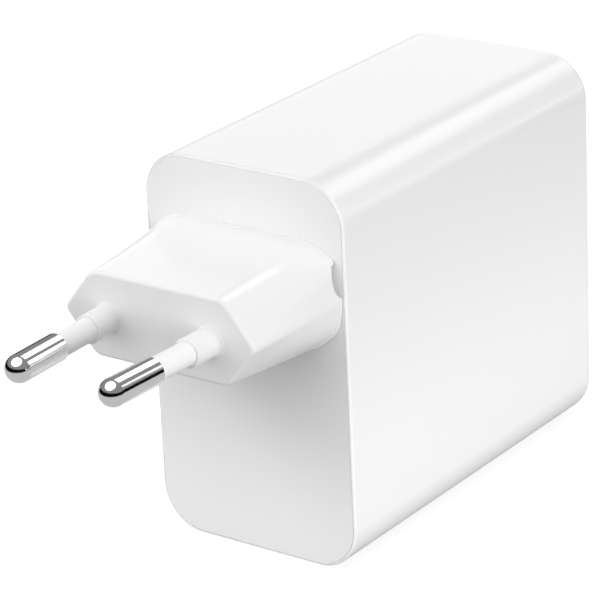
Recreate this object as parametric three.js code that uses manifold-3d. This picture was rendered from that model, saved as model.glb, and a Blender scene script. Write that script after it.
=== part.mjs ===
// Wall-mounted laptop power adapter: a narrow glossy case that stands on edge, with a pull-off
// two-pin plug head on its front cover and a reversible power socket in its rear wall.
// Millimetres. +Z is up, the pins point to -Y, and the origin is the middle of the base face.

import * as THREE from "three";
import { mergeVertices } from "three/addons/utils/BufferGeometryUtils.js";
import Module from "manifold-3d";

const wasm = await Module();
wasm.setup();

// ---------------------------------------------------------------- driving dimensions

// Case
const CASE_WIDTH = 37;
const CASE_HEIGHT = 63.4;
const CASE_DEPTH = 70;
const CASE_CORNER_RADIUS = 7.3;
const CASE_WALL = 2.2;
const CASE_REAR_EDGE_RADIUS = 1.2;
const RIM_WIDTH = 0.6;
const RIM_RADIUS = 0.5;
const COVER_THICKNESS = 1.8;
const COVER_EDGE_CHAMFER = 0.15;
const COVER_SPIGOT_LENGTH = 3;
const COVER_SPIGOT_WALL = 1.2;

// Clearances
const SEAT = 0.3;
const BORE_CLEARANCE = 0.2;
const SNUG_GAP = 0.1;

// Plug head
const PLUG_TOP_DISTANCE = 18.3;
const PLUG_LENGTH = 21.8;
const PLUG_SIDE_MARGIN = 0.75;
const PLUG_FRONT_HALF_HEIGHT = 6.8;
const PLUG_FRONT_FLAT_INSET = 5.55;
const PLUG_REAR_HALF_HEIGHT = 8.6;
const PLUG_REAR_FLAT_INSET = 5.35;
const PLUG_REAR_SHOULDER_INSET = 0.35;
const PLUG_REAR_UPPER_SHOULDER = 6.2;
const PLUG_REAR_LOWER_SHOULDER = 5;
const PLUG_FRONT_SHOULDER_SHARE = 0.6;
const PLUG_UPPER_EDGE_RADIUS = 4;
const PLUG_LOWER_EDGE_RADIUS = 2.5;
const PLUG_RIDGE_RADIUS = 0.8;
const PLUG_FACE_EDGE_RADIUS = 0.8;
const LEAST_RADIUS_SHARE = 0.3;
const PLUG_FACE_WALL = 3;
const PLUG_REAR_CHAMFER = 0.3;
const NOTCH_CHORD = 5.4;
const NOTCH_DEPTH = 1.4;
const NOTCH_CENTRE_RISE = 3.4;
const NOTCH_REACH = 2.15;

// Pins, measured along their own slightly converging axes
const PIN_AXIS_DROP = 0.25;
const PIN_SPACING = 18.6;
const PIN_TIP_SPACING = 17;
const PIN_REACH = 23.4;
const PIN_HEAD_DIAMETER = 4.3;
const PIN_HEAD_LENGTH = 11;
const PIN_HEAD_CHAMFER = 0.2;
const PIN_SHANK_DIAMETER = 2.5;
const SLEEVE_DIAMETER = 3.7;
const COLLAR_DIAMETER = 4.6;
const COLLAR_LENGTH = 5.1;
const COLLAR_FLARE_DIAMETER = 6.6;
const COLLAR_FLARE_HEIGHT = 0.6;
const COLLAR_FLARE_LIP = 0.1;

// Boss on the cover, the pocket that fits over it, and the contacts between them
const BOSS_PIN_MARGIN = 3.2;
const BOSS_HEIGHT = 8.4;
const BOSS_LENGTH = 7.5;
const BOSS_CORNER_RADIUS = 1.4;
const HEAD_BACK_THICKNESS = 1.8;
const INLET_PIN_DIAMETER = 2.8;
const INLET_PIN_REACH = 7;
const SOCKET_WIDTH = 4.4;
const SOCKET_LENGTH = 6;
const SOCKET_FLOOR = 0.9;
const DETENT_POCKET_DEPTH = 1.1;
const DETENT_POCKET_HEIGHT = 4.6;
const DETENT_POCKET_LENGTH = 6.1;
const DETENT_THICKNESS = 0.3;

// Flat layers between the case walls and the circuit board
const SPREADER_THICKNESS = 0.8;
const SHEET_THICKNESS = 0.4;
const SOLDER_SIDE_HEIGHT = 2.2;
const BOARD_THICKNESS = 1.6;
const BOARD_EDGE_MARGIN = 1.8;
const RAIL_HEIGHT = 1;
const RAIL_THICKNESS = 0.9;
const RAIL_LENGTH = 48;

// Circuit pieces: x is the height above the board, y the depth, z the length up the board
const STRIP_THICKNESS = 0.8;
const STRIP_WIDTH = 4;
const STRIP_TOP_MARGIN = 4.25;
const FILTER_DEPTH = 12;
const FUSE_DIAMETER = 5;
const FUSE_LENGTH = 11;
const FUSE_CAP_LENGTH = 2.4;
const FUSE_CAP_STEP = 0.25;
const THERMISTOR_DIAMETER = 8.5;
const THERMISTOR_THICKNESS = 4;
const X_CAPACITOR_SIZE = { x: 14, y: 8, z: 18 };
const CHOKE_DIAMETER = 12;
const CHOKE_BORE = 5;
const CHOKE_HEIGHT = 8;
const CHOKE_WINDING_THICKNESS = 1;
const CHOKE_WINDING_GAP = 2.4;
const BULK_DIAMETER = 12;
const BULK_END_GAP = 4.8;
const CAN_CRIMP_SHARE = 0.06;
const TRANSFORMER_SIZE = { x: 20, y: 15, z: 24 };
const CORE_BACK = 3.2;
const CORE_LEG = 3.6;
const CORE_CENTRE_DIAMETER = 7;
const BOBBIN_WALL = 0.9;
const TRANSISTOR_SIZE = { x: 15, y: 4.4, z: 10 };
const HEAT_SINK_THICKNESS = 1.5;
const HEAT_SINK_HEIGHT = 19;
const Y_CAPACITOR_DIAMETER = 7;
const Y_CAPACITOR_THICKNESS = 3.4;
const OPTOCOUPLER_SIZE = { x: 3.4, y: 6.4, z: 4.6 };
const BRIDGE_SIZE = { x: 1.6, y: 6, z: 5.4 };
const CONTROLLER_SIZE = { x: 1.4, y: 5, z: 6.2 };
const RECTIFIER_SIZE = { x: 1.1, y: 6, z: 5 };
const OUTPUT_CAPACITOR_DIAMETER = 8;
const OUTPUT_CAPACITOR_HEIGHT = 11;
const THERMAL_PAD_SIZE = { y: 12, z: 20 };

// Output socket and its board
const OUTPUT_BOARD_THICKNESS = 1.2;
const OUTPUT_BOARD_DEPTH = 14;
const OUTPUT_BOARD_LENGTH = 20;
const HEADER_DEPTH = 4;
const HEADER_LENGTH = 14;
const PORT_LONG = 8.94;
const PORT_SHORT = 3.2;
const PORT_WALL = 0.3;
const PORT_LENGTH = 7.6;
const PORT_SETBACK = 0.5;
const TONGUE_THICKNESS = 0.7;
const TONGUE_WIDTH = 6.6;
const TONGUE_BASE_LENGTH = 2;
const TONGUE_LENGTH = 4.6;

// Facets of round forms
const CORNER_STEPS = 6;
const SMALL_ROUND = 16;
const LARGE_ROUND = 24;
const EDGE_STEPS = 4;
const END_STEPS = 3;

// How far a cutting form runs past what it cuts, the flat left between two round ends, and the
// distance under which two corners of a mesh are one.
const OVERRUN = 1;
const LEAST_FLAT = 0.04;
const SAME_CORNER = 1e-5;

// ---------------------------------------------------------------- derived places

const frontY = -CASE_DEPTH / 2;
const rearY = CASE_DEPTH / 2;
const coverRearY = frontY + COVER_THICKNESS;
const innerHalfWidth = CASE_WIDTH / 2 - CASE_WALL;
const innerBottom = CASE_WALL;
const innerTop = CASE_HEIGHT - CASE_WALL;
const innerRearY = rearY - CASE_WALL;
const innerCornerRadius = CASE_CORNER_RADIUS - CASE_WALL;
const middleZ = CASE_HEIGHT / 2;
const interiorFrontY = coverRearY + COVER_SPIGOT_LENGTH + SEAT;
const interiorRearY = innerRearY - SEAT;

const plugHalfWidth = CASE_WIDTH / 2 - PLUG_SIDE_MARGIN;
const plugFaceY = frontY - PLUG_LENGTH;
const plugCentreHeight = CASE_HEIGHT - PLUG_TOP_DISTANCE;
const pinHeight = plugCentreHeight - PIN_AXIS_DROP;
const pocketEndY = plugFaceY + PLUG_FACE_WALL;
const bossWidth = PIN_SPACING + 2 * BOSS_PIN_MARGIN;
const bossEndY = frontY - BOSS_LENGTH;
const headBackFrontY = bossEndY - SEAT - HEAD_BACK_THICKNESS;
const socketRearY = headBackFrontY - SEAT;
const socketFrontY = socketRearY - SOCKET_LENGTH;
const pinTailLength = socketFrontY - SEAT - pocketEndY;
const inletPinFrontY = bossEndY - INLET_PIN_REACH;
const pinLean = Math.atan((PIN_SPACING - PIN_TIP_SPACING) / 2 / PIN_REACH);
const pinHeadStart = PIN_REACH - PIN_HEAD_LENGTH;
const contactX = PIN_SPACING / 2 + Math.tan(pinLean) * (socketFrontY - plugFaceY);
const boreDiameter = PIN_SHANK_DIAMETER + 2 * BORE_CLEARANCE;

const boardBackX = -innerHalfWidth + 3 * SEAT + SPREADER_THICKNESS + SHEET_THICKNESS + SOLDER_SIDE_HEIGHT;
const boardFrontX = boardBackX + BOARD_THICKNESS;
const componentX = boardFrontX + SEAT;
const rightSheetX = innerHalfWidth - 2 * SEAT - SPREADER_THICKNESS - SHEET_THICKNESS;
const boardBottom = innerBottom + SEAT;
const boardTop = innerTop - SEAT;
const lowZ = boardBottom + BOARD_EDGE_MARGIN;
const highZ = boardTop - BOARD_EDGE_MARGIN;

const stripFrontY = interiorFrontY;
const filterFrontY = stripFrontY + STRIP_THICKNESS + SEAT;
const outputBoardFrontY = interiorRearY - OUTPUT_BOARD_DEPTH;
const columnsDepth = FILTER_DEPTH + BULK_DIAMETER + TRANSFORMER_SIZE.y;
const columnGap = (outputBoardFrontY - filterFrontY - columnsDepth) / 3;
const bulkFrontY = filterFrontY + FILTER_DEPTH + columnGap;
const transformerFrontY = bulkFrontY + BULK_DIAMETER + columnGap;

const outputBoardFrontX = -PORT_SHORT / 2 - SEAT;
const outputBoardBackX = outputBoardFrontX - OUTPUT_BOARD_THICKNESS;
const portMouthY = rearY - PORT_SETBACK;

// ---------------------------------------------------------------- materials

const material = (color, roughness, metalness = 0) =>
  new THREE.MeshStandardMaterial({ color, roughness, metalness, flatShading: true });

const whiteGloss = material(0xf2f2f2, 0.16);
const whiteSatin = material(0xeaeaea, 0.4);
const polishedNickel = material(0xd8d8d6, 0.12, 1);
const brass = material(0xc9a85a, 0.3, 1);
const springSteel = material(0xb9bcc0, 0.3, 1);
const aluminium = material(0xc4c6c8, 0.4, 1);
const boardGreen = material(0x1f5a36, 0.55);
const copper = material(0xb8693a, 0.35, 1);
const ferrite = material(0x35363a, 0.8);
const blackPlastic = material(0x1c1c1e, 0.5);
const yellowTape = material(0xd9b640, 0.5);
const blueSleeve = material(0x2a4a7a, 0.45);
const greenDisc = material(0x2f6e5a, 0.5);
const greyPad = material(0x8b93a0, 0.9);
const clearSheet = material(0xd8d8c8, 0.4);
const glassTube = material(0xcfd4cf, 0.2);

// ---------------------------------------------------------------- shape helpers

const solidOf = (geometry) => {
  const bare = geometry.clone();
  bare.deleteAttribute("normal");
  bare.deleteAttribute("uv");
  const merged = mergeVertices(bare, SAME_CORNER);
  return new wasm.Manifold(new wasm.Mesh({
    numProp: 3,
    vertProperties: new Float32Array(merged.attributes.position.array),
    triVerts: new Uint32Array(merged.index.array),
  }));
};

const geometryOf = (solid) => {
  const mesh = solid.getMesh();
  const geometry = new THREE.BufferGeometry();
  geometry.setAttribute("position", new THREE.BufferAttribute(mesh.vertProperties, 3));
  geometry.setIndex(new THREE.BufferAttribute(mesh.triVerts, 1));
  geometry.computeVertexNormals();
  return geometry;
};

const join = (first, ...others) =>
  geometryOf(others.reduce((solid, other) => solid.add(solidOf(other)), solidOf(first)));

const cut = (first, ...others) =>
  geometryOf(others.reduce((solid, other) => solid.subtract(solidOf(other)), solidOf(first)));

const common = (first, other) => geometryOf(solidOf(first).intersect(solidOf(other)));

// A block between two corners.
const block = (low, high) => {
  const size = [0, 1, 2].map((axis) => high[axis] - low[axis]);
  const geometry = new THREE.BoxGeometry(...size);
  geometry.translate(...low.map((value, axis) => value + size[axis] / 2));
  return geometry;
};

// A cylinder along Y between two depths.
const roundAlongY = (diameter, startY, endY, x, z, sides = SMALL_ROUND) => {
  const geometry = new THREE.CylinderGeometry(diameter / 2, diameter / 2, endY - startY, sides);
  geometry.translate(x, (startY + endY) / 2, z);
  return geometry;
};

// A turned piece about the X axis: profile points are [radius, x].
const turnedAlongX = (profile, y, z, sides = LARGE_ROUND) => {
  const geometry = new THREE.LatheGeometry(profile.map(([r, h]) => new THREE.Vector2(r, h)), sides);
  geometry.rotateZ(-Math.PI / 2);
  geometry.translate(0, y, z);
  return geometry;
};

// A turned piece about the Z axis: profile points are [radius, z].
const turnedAlongZ = (profile, x, y, sides = LARGE_ROUND) => {
  const geometry = new THREE.LatheGeometry(profile.map(([r, h]) => new THREE.Vector2(r, h)), sides);
  geometry.rotateX(Math.PI / 2);
  geometry.translate(x, y, 0);
  return geometry;
};

const unit = ([x, z]) => {
  const length = Math.hypot(x, z);
  return [x / length, z / length];
};

// What a rounding or an inset needs to know about one corner of a convex outline.
const cornerOf = (outline, index) => {
  const [x, z] = outline[index];
  const before = outline[(index + outline.length - 1) % outline.length];
  const after = outline[(index + 1) % outline.length];
  const back = unit([before[0] - x, before[1] - z]);
  const ahead = unit([after[0] - x, after[1] - z]);
  const cosine = back[0] * ahead[0] + back[1] * ahead[1];
  const halfAngle = Math.acos(Math.max(-1, Math.min(1, cosine))) / 2;
  const sum = [back[0] + ahead[0], back[1] + ahead[1]];
  const straight = Math.hypot(...sum) < SAME_CORNER;
  const inward = straight ? [-ahead[1], ahead[0]] : unit(sum);
  return { x, z, back, ahead, halfAngle, inward };
};

const insetOutline = (outline, inset) =>
  outline.map((point, index) => {
    const { x, z, halfAngle, inward } = cornerOf(outline, index);
    const reach = inset / Math.sin(halfAngle);
    return [x + inward[0] * reach, z + inward[1] * reach];
  });

// Rounds each corner of a convex outline; a radius of zero keeps the corner.
const roundOutline = (outline, radii, steps = CORNER_STEPS) =>
  outline.flatMap((point, index) => {
    const radius = radii[index];
    if (radius <= 0) {
      return [point];
    }
    const { x, z, back, ahead, halfAngle, inward } = cornerOf(outline, index);
    const reach = radius / Math.sin(halfAngle);
    const centre = [x + inward[0] * reach, z + inward[1] * reach];
    const tangent = radius / Math.tan(halfAngle);
    const start = [x + back[0] * tangent - centre[0], z + back[1] * tangent - centre[1]];
    const end = [x + ahead[0] * tangent - centre[0], z + ahead[1] * tangent - centre[1]];
    const startAngle = Math.atan2(start[1], start[0]);
    const turn = Math.atan2(start[0] * end[1] - start[1] * end[0], start[0] * end[0] + start[1] * end[1]);
    return Array.from({ length: steps + 1 }, (unused, step) => {
      const angle = startAngle + (turn * step) / steps;
      return [centre[0] + radius * Math.cos(angle), centre[1] + radius * Math.sin(angle)];
    });
  });

// A rectangle outline, anticlockwise as seen from the front.
const rectangle = (halfWidth, low, high) => [
  [halfWidth, low],
  [halfWidth, high],
  [-halfWidth, high],
  [-halfWidth, low],
];

const roundedRectangle = (halfWidth, low, high, radius, steps = CORNER_STEPS) =>
  roundOutline(rectangle(halfWidth, low, high), [radius, radius, radius, radius], steps);

// Skins a row of outlines, each { y, points }, from front to rear, with flat ends.
const loftAlongY = (sections) => {
  const count = sections[0].points.length;
  const positions = sections.flatMap(({ y, points }) => points.flatMap(([x, z]) => [x, y, z]));
  const indices = [];
  for (let ring = 0; ring < sections.length - 1; ring += 1) {
    for (let k = 0; k < count; k += 1) {
      const a = ring * count + k;
      const b = ring * count + ((k + 1) % count);
      indices.push(a, b + count, b, a, a + count, b + count);
    }
  }
  const addEnd = (ring, flip) => {
    const contour = sections[ring].points.map(([x, z]) => new THREE.Vector2(x, z));
    THREE.ShapeUtils.triangulateShape(contour, []).forEach(([a, b, c]) => {
      const base = ring * count;
      indices.push(...(flip ? [base + a, base + c, base + b] : [base + a, base + b, base + c]));
    });
  };
  addEnd(0, false);
  addEnd(sections.length - 1, true);
  const geometry = new THREE.BufferGeometry();
  geometry.setAttribute("position", new THREE.Float32BufferAttribute(positions, 3));
  geometry.setIndex(indices);
  geometry.computeVertexNormals();
  return geometry;
};

const prismAlongY = (points, startY, endY) =>
  loftAlongY([{ y: startY, points }, { y: endY, points }]);

// ---------------------------------------------------------------- scene graph

const adapter = new THREE.Group();
const plugHead = new THREE.Group();
adapter.add(plugHead);

const addPiece = (group, name, geometry, pieceMaterial) => {
  const mesh = new THREE.Mesh(geometry, pieceMaterial);
  mesh.name = name;
  group.add(mesh);
};

const SIDES = [
  { name: "left", sign: -1 },
  { name: "right", sign: 1 },
];

// ---------------------------------------------------------------- case

const caseSection = (y, inset) => ({
  y,
  points: roundedRectangle(
    CASE_WIDTH / 2 - inset, inset, CASE_HEIGHT - inset, CASE_CORNER_RADIUS - inset,
  ),
});

const innerOutline = (inset) => roundedRectangle(
  innerHalfWidth - inset, innerBottom + inset, innerTop - inset, innerCornerRadius - inset,
);

// Rounds the end of a prism: a quarter circle in a few steps, as [distance from the end, inset].
const endRound = (radius, steps) => Array.from({ length: steps + 1 }, (unused, step) => {
  const angle = (Math.PI / 2) * (step / steps);
  return [radius * (1 - Math.sin(angle)), radius * (1 - Math.cos(angle))];
});

const frontToRear = (sections) => sections.sort((first, second) => first.y - second.y);

// The long flat-sided opening that the output socket shows through.
const portOutline = (grow) => roundedRectangle(
  PORT_SHORT / 2 + grow, middleZ - PORT_LONG / 2 - grow, middleZ + PORT_LONG / 2 + grow,
  PORT_SHORT / 2 + grow - LEAST_FLAT / 2,
);

// A sleeve with a thin rim that stands round the cover, a ledge behind it and a rear wall.
const makeHousingShell = () => {
  const rim = endRound(RIM_RADIUS, END_STEPS).map(([back, inset]) => caseSection(frontY + back, inset));
  const rearEdge = endRound(CASE_REAR_EDGE_RADIUS, END_STEPS)
    .map(([back, inset]) => caseSection(rearY - back, inset));
  const outer = loftAlongY(frontToRear([...rim, ...rearEdge]));
  const coverSeat = loftAlongY([
    caseSection(frontY - OVERRUN, RIM_WIDTH),
    caseSection(coverRearY + SEAT, RIM_WIDTH),
  ]);
  const cavity = prismAlongY(innerOutline(0), frontY - OVERRUN, innerRearY);
  const portHole = prismAlongY(portOutline(SEAT), innerRearY - OVERRUN, rearY + OVERRUN);
  const railStartY = interiorRearY - RAIL_LENGTH;
  const railAt = (x, low, high) => block(
    [x, railStartY, low], [x + RAIL_THICKNESS, interiorRearY + 2 * SEAT, high],
  );
  const rails = [boardBackX - SEAT - RAIL_THICKNESS, boardFrontX + SEAT].flatMap((x) => [
    railAt(x, innerBottom - SEAT, innerBottom + RAIL_HEIGHT),
    railAt(x, innerTop - RAIL_HEIGHT, innerTop + SEAT),
  ]);
  return join(cut(outer, coverSeat, cavity, portHole), ...rails);
};

// The boss's outline, which the head's pocket and back plate follow.
const bossOutline = (grow) => roundedRectangle(
  bossWidth / 2 + grow,
  plugCentreHeight - BOSS_HEIGHT / 2 - grow, plugCentreHeight + BOSS_HEIGHT / 2 + grow,
  BOSS_CORNER_RADIUS + grow, END_STEPS,
);

// A plate that lies inside the rim, a ring that centres it in the sleeve, and the head's boss.
const makeFrontCover = () => {
  const plate = loftAlongY([
    caseSection(frontY, RIM_WIDTH + SEAT + COVER_EDGE_CHAMFER),
    caseSection(frontY + COVER_EDGE_CHAMFER, RIM_WIDTH + SEAT),
    caseSection(coverRearY, RIM_WIDTH + SEAT),
  ]);
  const spigotEndY = coverRearY + COVER_SPIGOT_LENGTH;
  const spigot = cut(
    prismAlongY(innerOutline(SEAT), coverRearY - SEAT, spigotEndY),
    prismAlongY(innerOutline(SEAT + COVER_SPIGOT_WALL), coverRearY, spigotEndY + OVERRUN),
  );
  const boss = prismAlongY(bossOutline(0), bossEndY, frontY + SEAT);
  const bores = SIDES.map(({ sign }) => roundAlongY(
    INLET_PIN_DIAMETER + 2 * BORE_CLEARANCE, bossEndY - OVERRUN, coverRearY + OVERRUN,
    sign * contactX, pinHeight,
  ));
  const detentPockets = SIDES.map(({ sign }) => {
    const edges = [bossWidth / 2 - DETENT_POCKET_DEPTH, bossWidth / 2 + OVERRUN].map((x) => sign * x);
    return block(
      [Math.min(...edges), frontY - DETENT_POCKET_LENGTH, plugCentreHeight - DETENT_POCKET_HEIGHT / 2],
      [Math.max(...edges), frontY - SEAT, plugCentreHeight + DETENT_POCKET_HEIGHT / 2],
    );
  });
  return cut(join(plate, spigot, boss), ...bores, ...detentPockets);
};

addPiece(adapter, "housing_shell", makeHousingShell(), whiteGloss);
addPiece(adapter, "front_cover", makeFrontCover(), whiteGloss);

// ---------------------------------------------------------------- plug head

// The head's outline at a share of its length: 0 at the pin face, 1 where it meets the cover.
const plugCorners = (share) => {
  const blend = (front, rear) => front + (rear - front) * share;
  const flat = plugHalfWidth - blend(PLUG_FRONT_FLAT_INSET, PLUG_REAR_FLAT_INSET);
  const half = blend(PLUG_FRONT_HALF_HEIGHT, PLUG_REAR_HALF_HEIGHT);
  const frontShoulderInset = PLUG_FRONT_SHOULDER_SHARE * PLUG_FRONT_FLAT_INSET;
  const frontShoulderZ = PLUG_FRONT_SHOULDER_SHARE * PLUG_FRONT_HALF_HEIGHT;
  const shoulderX = plugHalfWidth - blend(frontShoulderInset, PLUG_REAR_SHOULDER_INSET);
  const upper = blend(frontShoulderZ, PLUG_REAR_UPPER_SHOULDER);
  const lower = blend(frontShoulderZ, PLUG_REAR_LOWER_SHOULDER);
  const right = [[plugHalfWidth, 0], [shoulderX, upper], [flat, half]];
  const left = right.map(([x, z]) => [-x, z]).reverse();
  return [
    ...right,
    ...left,
    [-shoulderX, -lower],
    [-flat, -half],
    [flat, -half],
    [shoulderX, -lower],
  ];
};

const plugSection = (distanceFromFace, inset) => {
  const corners = insetOutline(plugCorners(distanceFromFace / PLUG_LENGTH), inset);
  const ridge = PLUG_RIDGE_RADIUS;
  const upper = PLUG_UPPER_EDGE_RADIUS;
  const lower = PLUG_LOWER_EDGE_RADIUS;
  const radii = [ridge, 0, upper, upper, 0, ridge, 0, lower, lower, 0]
    .map((radius) => Math.max(radius - inset, LEAST_RADIUS_SHARE * radius));
  return {
    y: plugFaceY + distanceFromFace,
    points: roundOutline(corners, radii, EDGE_STEPS).map(([x, z]) => [x, z + plugCentreHeight]),
  };
};

// Places a form that was made along -Y from the pin's root onto the leaning pin axis.
const ontoPinAxis = (geometry, sign) => {
  geometry.rotateZ(-sign * pinLean);
  geometry.translate((sign * PIN_SPACING) / 2, plugFaceY, pinHeight);
  return geometry;
};

// A turned form along the pin axis: profile points are [radius, distance out of the pin face].
const turnedOnPin = (profile, sign, sides = SMALL_ROUND) => {
  const points = profile.map(([r, out]) => new THREE.Vector2(r, -out)).reverse();
  return ontoPinAxis(new THREE.LatheGeometry(points, sides), sign);
};

const makePlugHeadShell = () => {
  const faceSections = endRound(PLUG_FACE_EDGE_RADIUS, END_STEPS)
    .map(([back, inset]) => plugSection(back, inset));
  const rear = PLUG_LENGTH - SEAT;
  const outer = loftAlongY([
    ...frontToRear(faceSections),
    plugSection(rear - PLUG_REAR_CHAMFER, 0),
    plugSection(rear, PLUG_REAR_CHAMFER),
  ]);
  const pocket = prismAlongY(bossOutline(SEAT), pocketEndY, frontY + OVERRUN);
  const collars = SIDES.map(({ sign }) => turnedOnPin([
    [0, -PLUG_FACE_WALL / 2],
    [COLLAR_FLARE_DIAMETER / 2, -PLUG_FACE_WALL / 2],
    [COLLAR_FLARE_DIAMETER / 2, COLLAR_FLARE_LIP],
    [(COLLAR_DIAMETER + COLLAR_FLARE_DIAMETER) / 4, COLLAR_FLARE_HEIGHT / 2],
    [COLLAR_DIAMETER / 2, COLLAR_FLARE_HEIGHT],
    [COLLAR_DIAMETER / 2, COLLAR_LENGTH],
    [0, COLLAR_LENGTH],
  ], sign));
  const bores = SIDES.map(({ sign }) => turnedOnPin([
    [0, -PLUG_FACE_WALL - OVERRUN],
    [boreDiameter / 2, -PLUG_FACE_WALL - OVERRUN],
    [boreDiameter / 2, COLLAR_LENGTH + OVERRUN],
    [0, COLLAR_LENGTH + OVERRUN],
  ], sign));
  const notchRadius = (NOTCH_CHORD ** 2 / 4 + NOTCH_DEPTH ** 2) / (2 * NOTCH_DEPTH);
  const notches = SIDES.map(({ sign }) => {
    const width = NOTCH_REACH + OVERRUN;
    const roller = new THREE.CylinderGeometry(notchRadius, notchRadius, width, LARGE_ROUND);
    roller.rotateZ(Math.PI / 2);
    roller.translate(
      sign * (plugHalfWidth - NOTCH_REACH + width / 2),
      frontY - SEAT - NOTCH_DEPTH + notchRadius,
      plugCentreHeight + NOTCH_CENTRE_RISE,
    );
    return roller;
  });
  return cut(join(outer, ...collars), pocket, ...bores, ...notches);
};

const makePlugHeadBack = () => {
  const plate = prismAlongY(bossOutline(0), headBackFrontY, headBackFrontY + HEAD_BACK_THICKNESS);
  const bores = SIDES.map(({ sign }) => roundAlongY(
    INLET_PIN_DIAMETER + 4 * BORE_CLEARANCE, headBackFrontY - OVERRUN, bossEndY + OVERRUN,
    sign * contactX, pinHeight,
  ));
  return cut(plate, ...bores);
};

const makePin = (sign) => {
  const shank = PIN_SHANK_DIAMETER / 2;
  const head = PIN_HEAD_DIAMETER / 2;
  const dome = Array.from({ length: EDGE_STEPS }, (unused, step) => {
    const angle = (Math.PI / 2) * (step / EDGE_STEPS);
    return [head * Math.cos(angle), PIN_REACH - head + head * Math.sin(angle)];
  });
  return turnedOnPin([
    [0, -PLUG_FACE_WALL - pinTailLength],
    [shank, -PLUG_FACE_WALL - pinTailLength],
    [shank, pinHeadStart],
    [head - PIN_HEAD_CHAMFER, pinHeadStart],
    [head, pinHeadStart + PIN_HEAD_CHAMFER],
    ...dome,
    [0, PIN_REACH],
  ], sign);
};

const makePinSleeve = (sign) => turnedOnPin([
  [boreDiameter / 2, COLLAR_LENGTH + SNUG_GAP],
  [SLEEVE_DIAMETER / 2, COLLAR_LENGTH + SNUG_GAP],
  [SLEEVE_DIAMETER / 2, pinHeadStart - SNUG_GAP],
  [boreDiameter / 2, pinHeadStart - SNUG_GAP],
  [boreDiameter / 2, COLLAR_LENGTH + SNUG_GAP],
], sign);

// A folded brass cup: the inlet pin slides in from the rear, and the plug pin's tail is riveted on.
const makeSocketContact = (sign) => {
  const x = sign * contactX;
  const half = SOCKET_WIDTH / 2;
  const cup = block(
    [x - half, socketFrontY, pinHeight - half],
    [x + half, socketRearY, pinHeight + half],
  );
  return cut(cup, roundAlongY(
    INLET_PIN_DIAMETER + 2 * BORE_CLEARANCE, socketFrontY + SOCKET_FLOOR, socketRearY + OVERRUN,
    x, pinHeight,
  ));
};

const makeInletPin = (sign) => roundAlongY(
  INLET_PIN_DIAMETER, inletPinFrontY, stripFrontY - SEAT,
  sign * contactX, pinHeight,
);

// A bowed leaf that lies in its pocket in the side of the boss.
const makeDetentSpring = (sign) => {
  const length = DETENT_POCKET_LENGTH - 3 * SEAT;
  const rise = DETENT_POCKET_DEPTH - DETENT_THICKNESS - SEAT;
  const radius = (length ** 2 / 4 + rise ** 2) / (2 * rise);
  const spread = Math.asin(length / 2 / radius);
  const shape = new THREE.Shape();
  shape.absarc(0, 0, radius, -spread, spread, false);
  shape.absarc(0, 0, radius - DETENT_THICKNESS, spread, -spread, true);
  const geometry = new THREE.ExtrudeGeometry(shape, {
    depth: DETENT_POCKET_HEIGHT - 2 * SEAT, bevelEnabled: false, curveSegments: 5,
  });
  if (sign < 0) {
    geometry.rotateZ(Math.PI);
  }
  geometry.translate(
    sign * (bossWidth / 2 - SEAT / 2 - radius),
    frontY - SEAT - (DETENT_POCKET_LENGTH - SEAT) / 2,
    plugCentreHeight - DETENT_POCKET_HEIGHT / 2 + SEAT,
  );
  return geometry;
};

addPiece(plugHead, "plug_head_shell", makePlugHeadShell(), whiteGloss);
addPiece(plugHead, "plug_head_back", makePlugHeadBack(), whiteSatin);
SIDES.forEach(({ name, sign }) => {
  addPiece(plugHead, `plug_pin_${name}`, makePin(sign), polishedNickel);
  addPiece(plugHead, `pin_sleeve_${name}`, makePinSleeve(sign), whiteSatin);
  addPiece(plugHead, `socket_contact_${name}`, makeSocketContact(sign), brass);
  addPiece(adapter, `inlet_pin_${name}`, makeInletPin(sign), brass);
  addPiece(adapter, `detent_spring_${name}`, makeDetentSpring(sign), springSteel);
});

// ---------------------------------------------------------------- layers beside the board

const flatBottom = innerBottom + innerCornerRadius;
const flatTop = innerTop - innerCornerRadius;

SIDES.forEach(({ name, sign }) => {
  const layer = (distanceFromWall, thickness) => {
    const faces = [distanceFromWall, distanceFromWall + thickness]
      .map((distance) => sign * (innerHalfWidth - distance));
    return block(
      [Math.min(...faces), interiorFrontY, flatBottom],
      [Math.max(...faces), interiorRearY, flatTop],
    );
  };
  addPiece(adapter, `heat_spreader_${name}`, layer(SEAT, SPREADER_THICKNESS), aluminium);
  const sheet = layer(2 * SEAT + SPREADER_THICKNESS, SHEET_THICKNESS);
  addPiece(adapter, `insulation_sheet_${name}`, sheet, clearSheet);
});

addPiece(adapter, "main_board", block(
  [boardBackX, interiorFrontY, boardBottom], [boardFrontX, interiorRearY, boardTop],
), boardGreen);

// ---------------------------------------------------------------- mains side

// A bus strip from each inlet pin to the board; the right one climbs over the left one.
const stripLow = pinHeight - STRIP_WIDTH / 2;
const stripHigh = pinHeight + STRIP_WIDTH / 2;
const stripRearY = stripFrontY + STRIP_THICKNESS;
const stripTop = highZ - STRIP_TOP_MARGIN;

addPiece(adapter, "mains_strip_left", block(
  [componentX, stripFrontY, stripLow],
  [-contactX + STRIP_WIDTH / 2, stripRearY, stripHigh],
), copper);

addPiece(adapter, "mains_strip_right", join(
  block(
    [contactX - STRIP_WIDTH / 2, stripFrontY, stripLow],
    [contactX + STRIP_WIDTH / 2, stripRearY, stripTop],
  ),
  block(
    [componentX, stripFrontY, stripTop - STRIP_WIDTH],
    [contactX, stripRearY, stripTop],
  ),
), copper);

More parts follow.
